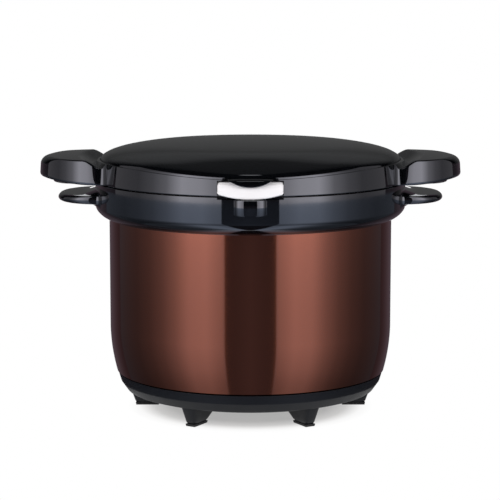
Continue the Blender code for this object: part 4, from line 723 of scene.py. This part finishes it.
# %% Dome with its thumb lobe
DOME_RADIUS = 132.5 * MM
DOME_TOP = 239.0 * MM
DOME_EDGE = LID_RIM + 0.6 * MM
DOME_SHARES = [(0.0, 1.0), (0.25, 0.98), (0.5, 0.905), (0.7, 0.8), (0.84, 0.63), (0.93, 0.43),
               (0.975, 0.24), (0.995, 0.09), (1.0, 0.0)]
DOME_WALL = 2.4 * MM
DOME_SKIRT_LOW = 209.5 * MM
DIP_RADIUS = 95.0 * MM
DIP_LOW = 209.2 * MM
LATCH_GAP_HALF = 32.5 * MM
LATCH_GAP_TOP = 216.4 * MM
LOBE_HALF = 19.0 * MM
LOBE_TOP = 218.3 * MM
LOBE_END_HEIGHT = 0.3 * MM
LOBE_DEPTH = 6.4 * MM
LOBE_POWER = 2.2
LOBE_SECTION = [(131.5, 0.0), (134.6, 0.0), (137.6, 0.22), (139.3, 0.6), (139.5, 0.92), (139.0, 1.0),
                (138.3, 0.97), (137.2, 0.8), (136.5, 0.66), (136.2, 0.3), (134.0, 0.17), (131.5, 0.17)]


def dome_grid(steps=320):
    """Turned profile, lowered by the rim's dip times an eased share of its radius. The skirt stops over
    the latch."""
    crown = np.array(DOME_SHARES) * (DOME_RADIUS, DOME_TOP - DOME_EDGE) + (0.0, DOME_EDGE)
    crown = soften(crown)
    inner = DOME_RADIUS - DOME_WALL
    inside = np.vstack(([(inner, DOME_SKIRT_LOW)], (crown - (0.0, DOME_WALL))[::-1]))
    inside[:, 0] = np.minimum(inside[:, 0], inner)
    profile = np.vstack((crown, [(DOME_RADIUS, DOME_SKIRT_LOW)], inside))
    grid = turned_grid(profile, full_turn(steps))
    x, y, height = np.moveaxis(grid, -1, 0)
    near_edge = smooth_step((profile[:, :1] - DIP_RADIUS) / (DOME_RADIUS - DIP_RADIUS))
    share = np.clip((height - DIP_LOW) / (LID_RIM - DIP_LOW), 0.0, 1.0)
    z = height - visor_dip(x, y) * near_edge * share
    over_latch = (y < 0.0) & (np.abs(x) < LATCH_GAP_HALF)
    grid[..., 2] = np.where(over_latch, np.maximum(z, LATCH_GAP_TOP), z)
    return grid


def lobe_grid(columns=61):
    """Closed section over a share of its height, carried across; its height follows depth (1 - |a|^2.2)
    for a from -1 to 1."""
    a = np.linspace(-1.0, 1.0, columns)
    depth = LOBE_DEPTH * (1.0 - np.abs(a) ** LOBE_POWER)
    section = soften(LOBE_SECTION, closed=True)
    radius = section[:, :1] * MM
    angle = a * LOBE_HALF / radius
    z = LOBE_TOP - (LOBE_END_HEIGHT + depth) * section[:, 1:]
    return close_ends(np.stack((radius * np.sin(angle), -radius * np.cos(angle), z), -1))


place(surface("dome_surface", dome_grid(), GLOSS_BLACK, wrap_rows=False),
      "lid", "gloss_black", "lid_top_cover")
place(surface("thumb_lobe_surface", lobe_grid(), GLOSS_BLACK, wrap_columns=False), "lid", "gloss_black")

# %% [markdown]
# ## The lever
# The white lever sits in a notch and curves with the ring. Its front is hollowed above and full
# below, and its lower edge rises toward both ends. A barrel on its back takes the pin, with room in
# the middle for the spring.

# %% Lever
LEVER_BOTTOM = 201.7 * MM
LEVER_EDGE = 0.5 * MM
LEVER_END_RISE = 4.0 * MM
LEVER_RISE_HEIGHT = 8.0 * MM
LEVER_END_SHARE = 0.035
LEVER_END_SHRINK = 0.1
LEVER_SECTION = [(131.6, 215.4), (133.0, 215.4), (135.6, 213.2), (137.2, 210.6), (138.5, 207.2),
                 (139.3, 203.8), (139.4, 202.4), (138.7, 201.7), (135.7, 201.7), (135.5, 204.0),
                 (133.6, 204.2), (133.6, 205.5), (134.5, 205.7), (134.5, 208.7), (131.6, 208.8)]
BARREL_RADIUS = 3.0 * MM
BARREL_HALF = 26.7 * MM
SPRING_ROOM_RADIUS = 3.35 * MM
SPRING_ROOM_HALF = 6.05 * MM


def lever_grid(columns=57):
    """Closed section carried along the ring's arc; its low points rise by rise a^2 for a from -1 to 1, and
    its ends draw in."""
    section = rounded(np.array(LEVER_SECTION) * MM, LEVER_EDGE, closed=True)
    a = np.linspace(-1.0, 1.0, columns)
    near_end = np.clip((np.abs(a) - (1.0 - LEVER_END_SHARE)) / LEVER_END_SHARE, 0.0, 1.0) ** 2
    shrink = 1.0 - LEVER_END_SHRINK * near_end
    centre = section.mean(0)
    radius = centre[0] + (section[:, :1] - centre[0]) * shrink
    low = 1.0 - smooth_step((section[:, 1:] - LEVER_BOTTOM) / LEVER_RISE_HEIGHT)
    z = centre[1] + (section[:, 1:] - centre[1]) * shrink + LEVER_END_RISE * a ** 2 * low
    x = np.broadcast_to(a * LEVER_HALF, radius.shape)
    return close_ends(np.stack((x, -np.sqrt(radius ** 2 - x ** 2), z), -1))


LEVER_OBJECT = surface("lever_surface", lever_grid(), WHITE_ABS, wrap_columns=False)
combine(LEVER_OBJECT, [cross_rod("barrel_tool", BARREL_RADIUS, BARREL_HALF, LATCH_AXIS, ROD_EDGE)], "UNION")
combine(LEVER_OBJECT, [
    cross_rod("spring_tool", SPRING_ROOM_RADIUS, SPRING_ROOM_HALF, LATCH_AXIS),
    cross_rod("pin_tool", PIN_BORE, RUN_PAST, LATCH_AXIS)])
place(LEVER_OBJECT, "latch", "white_lever", "latch_lever")

# %% [markdown]
# ## The catch
# The catch is a glossy tab whose front bulges, so it squeezes the whole studio into two bright
# stripes. A strap goes over the collar's edge to the tongue that the lever's nose hooks on.

# %% Catch
TAB_HALF = 13.5 * MM
TAB_FRONT = 135.8 * MM
TAB_BULGE = 6.9 * MM
TAB_BACK = 137.3 * MM
TAB_THIN = 0.2 * MM
TAB_SECTION = [(0.9, 188.0), (0.35, 188.2), (0.0, 189.0), (0.0, 200.6), (0.2, 201.1), (0.6, 201.3)]
STRAP_HALF = 10.0 * MM
STRAP_SECTION = [(133.0, 208.0), (133.3, 207.7), (133.3, 206.1), (132.2, 206.1), (132.2, 201.3),
                 (138.4, 201.3), (138.4, 199.9), (130.5, 199.9), (130.5, 208.0)]
KEEP_Y = (-200.0 * MM, 0.0)
KEEP_Z = (190.0 * MM, CUT_TOP)


def tab_outline(front_steps=49, back_steps=25):
    """Front y = -(f + bulge sin(t)^0.8) over x = -h cos(t), closed by an arc that stands off the collar."""
    t = np.linspace(0.0, math.pi, front_steps)
    front_x = -TAB_HALF * np.cos(t)
    thinnest = -np.sqrt(TAB_BACK ** 2 - front_x ** 2) - TAB_THIN
    front_y = np.minimum(-TAB_FRONT - TAB_BULGE * np.sin(t) ** 0.8, thinnest)
    back_x = np.linspace(TAB_HALF, -TAB_HALF, back_steps)[1:-1]
    back_y = -np.sqrt(TAB_BACK ** 2 - back_x ** 2)
    return np.vstack((np.stack((front_x, front_y), -1), np.stack((back_x, back_y), -1)))


TAB = moulding("catch_surface", tab_outline(), np.array(TAB_SECTION) * MM, GLOSS_BLACK)
STRAP = turned("tongue_tool", np.array(STRAP_SECTION) * MM, GLOSS_BLACK)
combine(STRAP, [block("keep_tool", (-STRAP_HALF, STRAP_HALF), KEEP_Y, KEEP_Z)], "INTERSECT")
combine(TAB, [STRAP], "UNION")
place(TAB, "body", "gloss_black", "latch_keeper")

# %% [markdown]
# ## The base
# The base is a grained black dish under the seam. Six ribs stand out from it as feet, wide at the
# root and narrow at the tip. The tables are in millimetres: a foot's sizes are its tip's and its
# root's, and a tool for the screws has a radius and its two heights.

# %% Base and feet
FOOT_HALF_WIDTHS = (4.8, 8.25)
FOOT_INNER_ENDS = (82.0, 60.0)
FOOT_OUTER_ENDS = (103.0, 108.5)
FOOT_HEIGHTS = (2.3, 17.3)
FOOT_POWER = 5.0
FOOT_SHARES = (0.0, 0.0, 0.08, 0.3, 0.6, 1.0)
FOOT_WIDTH_SHARES = (0.0, 0.9, 1.0, 1.0, 1.0, 1.0)
BASE_SECTION = [(0.0, 17.9), (101.6, 17.9), (108.1, 18.7), (114.1, 25.25), (115.3, 30.6), (115.3, 33.0),
                (118.2, 33.0), (117.6, 30.6), (116.0, 25.25), (110.5, 17.5), (105.2, 16.7), (104.0, 15.5),
                (0.0, 15.5)]
BASE_EDGE = 1.2
SCREW_CIRCLE = 84.0 * MM
SCREW_PLACES = [(SCREW_CIRCLE * math.sin(angle), -SCREW_CIRCLE * math.cos(angle)) for angle in full_turn(3)]
SCREW_BOSS = (6.5, 17.6, 24.9)
HEAD_ROOM = (4.2, 13.1, 19.0)
SHANK_ROOM = (2.3, 17.0, 26.0)


def tapered(sizes, share):
    """Size that runs from the tip's to the root's."""
    tip, root = sizes
    return tip + (root - tip) * share


def foot(angle, steps=40):
    """Rounded block whose plan |x|^5 + |y|^5 = 1 grows from its tip to its root, turned to its bearing."""
    t = np.linspace(0.0, 2.0 * math.pi, steps, endpoint=False)
    across, along = superellipse(t, FOOT_POWER)
    share = np.array(FOOT_SHARES)[:, None]
    width_share = np.array(FOOT_WIDTH_SHARES)[:, None]
    inner = tapered(FOOT_INNER_ENDS, share)
    outer = tapered(FOOT_OUTER_ENDS, share)
    x = tapered(FOOT_HALF_WIDTHS, share) * width_share * across
    y = -(inner + outer) / 2.0 + (outer - inner) / 2.0 * width_share * along
    z = tapered(FOOT_HEIGHTS, np.repeat(share, steps, 1))
    turn = np.array(((math.cos(angle), -math.sin(angle)), (math.sin(angle), math.cos(angle))))
    plan = np.stack((x, y), -1) @ turn.T
    grid = np.concatenate((plan, z[..., None]), -1) * MM
    cap = np.tile(grid[-1].mean(0), (1, steps, 1))
    return surface("foot_tool", np.concatenate((grid, cap)), wrap_rows=False)


def at_screws(name, sizes, edge=0.0):
    """An upright rod at each of the base's screws."""
    radius, low, high = (size * MM for size in sizes)
    return [rod(name, radius, (x, y, low), (x, y, high), edge) for x, y in SCREW_PLACES]


BASE = turned("base_surface", rounded(BASE_SECTION, BASE_EDGE) * MM, MATTE_BLACK, closed=False)
combine(BASE, [foot(math.pi / 6.0 * (2 * i + 1)) for i in range(6)], "UNION")
combine(BASE, at_screws("boss_tool", SCREW_BOSS, ROD_EDGE), "UNION")
combine(BASE, at_screws("head_tool", HEAD_ROOM) + at_screws("shank_tool", SHANK_ROOM))
place(BASE, "body", "matte_black", "base_cover")

# %% [markdown]
# ## Finishes on the CAD nodes
# The other parts have the right shape already, so they keep their meshes and take a finish. The
# first row whose start fits a node's name gives its finish.

# %% Finish the remaining nodes
FINISHES = (
    (BRUSHED_STEEL, (
        "inner_liner", "vacuum_seal_cap", "base_weld_nut", "base_screw", "hinge_screw", "hinge_pin",
        "lid_screw", "latch_pin", "latch_spring", "inner_pot", "pot_bracket", "pot_handle", "pot_rivet",
        "pot_lid_band", "pot_knob_")),
    (FOIL, ("radiation_foil",)),
    (ALUMINIUM, ("pot_base_disc",)),
    (GLOSS_BLACK, ("hinge_bracket", "wing_cover")),
    (MATTE_BLACK, ("pot_knob",)),
    (GREY_PLASTIC, ("lid_inner_cover",)),
    (RUBBER, ("foot_pad",)),
    (SILICONE, ("collar_seal", "lid_gasket")),
    (FOAM, ("lid_foam",)),
    (GLASS, ("pot_lid_glass",)))
finished = 0
for name, node in NODES.items():
    finish = next((material for material, starts in FINISHES if name.startswith(starts)), None)
    if finish is not None:
        node.data.materials.clear()
        node.data.materials.append(finish)
        finished += 1
print("finished nodes", finished)

# %% [markdown]
# ## The studio
# Two tall softboxes stand left and right of the camera with a gap between them. Their light fades
# toward the sides, which draws two bright bands on the shell with a dark stripe between. Below the
# table's line it is dimmer and bluer.
#
# Metal and gloss see the white background only straight up and low at the back. Elsewhere dark
# flags hide it from their reflections, as black cards do in a real studio, because the photograph's
# shell and mouldings reflect a dark room. The flags take no light from the object, and glass sees
# past them.

# %% Sheets and their light
BOX_RADIUS = 1.25
BOX_BOTTOM = -1.1
BOX_TOP = 1.35
BOX_ROWS = 12
TABLE_LINE = 0.06
GAP_HALF_ANGLE = 19.6
HIGH_END_ANGLE = 112.0
LOW_END_ANGLE = 127.0
SHEET_MIDDLE = 0.001


def sheet_round(name, profile, first, last, columns=96):
    """Stage sheet: a (radius, height) profile carried from one bearing to another, unseen by the camera."""
    grid = turned_grid(profile, np.radians(np.linspace(first, last, columns)))
    obj = bpy.data.objects.new(name, grid_mesh(name, grid))
    bpy.context.scene.collection.objects.link(obj)
    obj.visible_camera = False
    return obj


def graded(tree, value, stops):
    """Level read from stops of (value, level), straight between them and held beyond the ends."""
    low, high = stops[0][0], stops[-1][0]
    share = add_node(tree, "ShaderNodeMapRange", {"Value": value, "From Min": low, "From Max": high})
    ramp = add_node(tree, "ShaderNodeValToRGB", {"Fac": share.outputs[0]})
    elements = ramp.color_ramp.elements
    while len(elements) < len(stops):
        elements.new(0.5)
    for element, (at, level) in zip(elements, stops):
        element.position = (at - low) / (high - low)
        element.color = (level, level, level, 1.0)
    return ramp.outputs[0]


def glow(name, by_bearing, by_height, strength, colour=WHITE[:3]):
    """Coloured emission whose strength is a level by bearing from the front times a level by height."""
    material = bpy.data.materials.new(name)
    material.use_nodes = True
    tree = material.node_tree
    tree.nodes.clear()
    output = tree.nodes.new("ShaderNodeOutputMaterial")
    point = add_node(tree, "ShaderNodeTexCoord").outputs["Object"]
    x, y, z = add_node(tree, "ShaderNodeSeparateXYZ", {"Vector": point}).outputs
    across = add_node(tree, "ShaderNodeMath", {0: x}, operation="ABSOLUTE")
    front = add_node(tree, "ShaderNodeMath", {0: y, 1: -1.0}, operation="MULTIPLY")
    bearing = add_node(tree, "ShaderNodeMath", {0: across.outputs[0], 1: front.outputs[0]},
                       operation="ARCTAN2")
    stops = [(math.radians(angle), level) for angle, level in by_bearing]
    round_level = graded(tree, bearing.outputs[0], stops)
    high_level = graded(tree, z, by_height)
    both = add_node(tree, "ShaderNodeMath", {0: round_level, 1: high_level}, operation="MULTIPLY")
    full = add_node(tree, "ShaderNodeMath", {0: both.outputs[0], 1: strength}, operation="MULTIPLY")
    emission = add_node(tree, "ShaderNodeEmission", {"Color": (*colour, 1.0), "Strength": full.outputs[0]})
    tree.links.new(emission.outputs[0], output.inputs[0])
    return material


print("table line at", TABLE_LINE, "m")

# %% [markdown]
# Each softbox is two sheets, one above the table's line and one below it, which ends in a sheet
# toward the middle. Light is given as levels by bearing in degrees and by height in metres.

# %% Softboxes
HIGH_BY_BEARING = [(19.0, 0.6), (25.0, 0.68), (34.0, 0.91), (48.0, 1.0), (60.0, 0.39), (72.0, 0.19),
                   (85.0, 0.1), (127.0, 0.08)]
HIGH_BY_HEIGHT = [(0.0, 1.0), (BOX_TOP, 1.0)]
HIGH_STRENGTH = 2.85
HIGH_COLOUR = (1.0, 0.95, 1.0)
LOW_BY_BEARING = [(19.0, 0.7), (25.0, 0.78), (34.0, 1.0), (48.0, 0.91), (60.0, 0.52), (72.0, 0.28),
                  (85.0, 0.16), (100.0, 0.1), (127.0, 0.08)]
LOW_BY_HEIGHT = [(BOX_BOTTOM, 0.8), (BOX_BOTTOM + 0.03, 0.32), (-0.7, 0.46), (-0.5, 0.58), (-0.19, 0.72),
                 (-0.1, 0.77), (0.0, 0.92), (TABLE_LINE, 1.0)]
LOW_STRENGTH = 1.15
LOW_COLOUR = (0.85, 0.94, 1.15)
LOW_MIDDLE = 0.05
HIGH_LIGHT = glow("softbox_high", HIGH_BY_BEARING, HIGH_BY_HEIGHT, HIGH_STRENGTH, HIGH_COLOUR)
LOW_LIGHT = glow("softbox_low", LOW_BY_BEARING, LOW_BY_HEIGHT, LOW_STRENGTH, LOW_COLOUR)
HIGH_PROFILE = [(BOX_RADIUS, height) for height in np.linspace(BOX_TOP, TABLE_LINE, BOX_ROWS)]
LOW_PROFILE = [(BOX_RADIUS, height) for height in np.linspace(TABLE_LINE, BOX_BOTTOM, BOX_ROWS)]
LOW_PROFILE.append((LOW_MIDDLE, BOX_BOTTOM))
for side, label in ((-1.0, "left"), (1.0, "right")):
    for part, profile, end, light in (("high", HIGH_PROFILE, HIGH_END_ANGLE, HIGH_LIGHT),
                                      ("low", LOW_PROFILE, LOW_END_ANGLE, LOW_LIGHT)):
        first, last = sorted((side * GAP_HALF_ANGLE, side * end))
        sheet = sheet_round("softbox_%s_%s" % (label, part), profile, first, last)
        sheet.data.materials.append(light)
print("softboxes from", GAP_HALF_ANGLE, "degrees either side of the front")

# %% [markdown]
# The first flag hangs in the gap under the table's line, and the others stand behind the boxes and
# over them.

# %% Dark flags
ROOM_RADIUS = 2.2
ROOM_CORNER = 0.2
ROOM_FLOOR = -2.4
ROOM_CEILING = 2.6
OPENING_OVERHEAD = 0.15
REAR_OPENING_TOP = 0.22
REAR_OPENING_ANGLE = 170.0
GAP_FLAG_RADIUS = BOX_RADIUS + 0.03
FLAGS = (
    ("gap_flag", [(GAP_FLAG_RADIUS, BOX_BOTTOM), (GAP_FLAG_RADIUS, TABLE_LINE)], GAP_HALF_ANGLE,
     [(0.0, 1.0), (12.0, 0.8), (20.0, 0.7)],
     [(BOX_BOTTOM, 1.0), (0.0, 1.0), (TABLE_LINE, 0.7)], 0.12, (0.9, 1.0, 1.3)),
    ("low_flag", [(SHEET_MIDDLE, ROOM_FLOOR), (ROOM_RADIUS - ROOM_CORNER, ROOM_FLOOR),
                  (ROOM_RADIUS, ROOM_FLOOR + ROOM_CORNER), (ROOM_RADIUS, REAR_OPENING_TOP)],
     REAR_OPENING_ANGLE,
     [(100.0, 0.5), (127.0, 0.55), (150.0, 1.0)],
     [(ROOM_FLOOR, 0.5), (0.0, 1.0), (REAR_OPENING_TOP, 1.0)], 0.09, (1.0, 0.75, 0.9)),
    ("high_flag", [(ROOM_RADIUS, REAR_OPENING_TOP), (ROOM_RADIUS, ROOM_CEILING - ROOM_CORNER),
                   (ROOM_RADIUS - ROOM_CORNER, ROOM_CEILING), (OPENING_OVERHEAD, ROOM_CEILING)], 180.0,
     [(0.0, 0.0), (125.0, 0.0), (150.0, 1.0), (180.0, 1.0)],
     [(0.2, 0.7), (0.6, 0.62), (0.85, 0.5), (1.27, 0.8), (1.98, 1.0), (2.4, 0.8), (ROOM_CEILING, 0.4)],
     0.11, WHITE[:3]))
for name, profile, half_angle, by_bearing, by_height, strength, colour in FLAGS:
    flag = sheet_round(name, profile, -half_angle, half_angle)
    flag.data.materials.append(glow(name, by_bearing, by_height, strength, colour))
    flag.visible_diffuse = False
    flag.visible_shadow = False
    flag.visible_transmission = False
    print(name, "strength", strength)

# %% [markdown]
# The table is a pale disc. By the feet it takes the cooker's shadow, and further out it glows like
# the white background, so its edge doesn't show. Only rays from the camera, a reflection or glass
# see that glow.

# %% Floor
FLOOR_RADIUS = 0.125
FLOOR_RING = 0.1
FLOOR_SHARES = [(0.07, 0.4), (0.086, 0.55), (0.1, 0.92), (0.11, 1.0)]


def seen_directly(tree):
    """1 for camera, glossy and transmission rays, which see the full white, and 0 for light on objects."""
    path = add_node(tree, "ShaderNodeLightPath")
    share = path.outputs["Is Camera Ray"]
    for name in ("Is Glossy Ray", "Is Transmission Ray"):
        either = add_node(tree, "ShaderNodeMath", {0: share, 1: path.outputs[name]}, operation="MAXIMUM")
        share = either.outputs[0]
    return share


def floor_material():
    """Pale sheet that glows by a share: less by the feet, where the shadow stays, and all further out."""
    material, tree, shader = new_material("white_table", "#d8cab8", 0.8)
    point = add_node(tree, "ShaderNodeTexCoord").outputs["Object"]
    reach = add_node(tree, "ShaderNodeVectorMath", {0: point}, operation="LENGTH").outputs["Value"]
    share = graded(tree, reach, FLOOR_SHARES)
    seen = add_node(tree, "ShaderNodeMath", {0: seen_directly(tree), 1: share}, operation="MULTIPLY")
    emission = add_node(tree, "ShaderNodeEmission", {"Color": WHITE})
    mix = add_node(tree, "ShaderNodeMixShader",
                   {0: seen.outputs[0], 1: shader.outputs[0], 2: emission.outputs[0]})
    tree.links.new(mix.outputs[0], tree.nodes["Material Output"].inputs[0])
    return material


FLOOR = sheet_round("floor", [(SHEET_MIDDLE, 0.0), (FLOOR_RING, 0.0), (FLOOR_RADIUS, 0.0)], -180.0, 180.0)
FLOOR.visible_camera = True
FLOOR.data.materials.append(floor_material())
print("floor radius", FLOOR_RADIUS)

# %% [markdown]
# The world is the white background. The light that it casts on objects is weaker: the fill light.

# %% World
FILL_LIGHT = 0.55
world = bpy.data.worlds.new("studio")
bpy.context.scene.world = world
world.use_nodes = True
world_tree = world.node_tree
background = world_tree.nodes["Background"]
background.inputs["Color"].default_value = WHITE
world_level = add_node(world_tree, "ShaderNodeMapRange",
                       {"Value": seen_directly(world_tree), "To Min": FILL_LIGHT, "To Max": 1.0})
world_tree.links.new(world_level.outputs[0], background.inputs["Strength"])
print("fill light", FILL_LIGHT)

# %% [markdown]
# ## The camera
# The camera stands a little above the lid and looks slightly down, far enough away that upright
# sides stay almost parallel. Its focal length was measured in the photograph's pixels.

# %% Camera
CAMERA_PLACE = Vector((0.0, -1.739, 0.396))
CAMERA_TARGET = Vector((0.0, 0.0, 0.1399))
SENSOR_WIDTH = 36.0
FOCAL_PIXELS = 1972.0
PHOTO_PIXELS = 500.0
SIDE_SHIFT = -0.0008
CLIP_START = 0.01
camera_data = bpy.data.cameras.new("camera")
camera_data.sensor_width = SENSOR_WIDTH
camera_data.lens = FOCAL_PIXELS / PHOTO_PIXELS * SENSOR_WIDTH
camera_data.shift_x = SIDE_SHIFT
camera_data.clip_start = CLIP_START
CAMERA = bpy.data.objects.new("camera", camera_data)
CAMERA.location = CAMERA_PLACE
CAMERA.rotation_euler = (CAMERA_TARGET - CAMERA_PLACE).to_track_quat("-Z", "Y").to_euler()
bpy.context.scene.collection.objects.link(CAMERA)
bpy.context.scene.camera = CAMERA
bpy.context.scene.view_settings.view_transform = "Standard"
print("camera", tuple(round(v, 3) for v in CAMERA_PLACE))
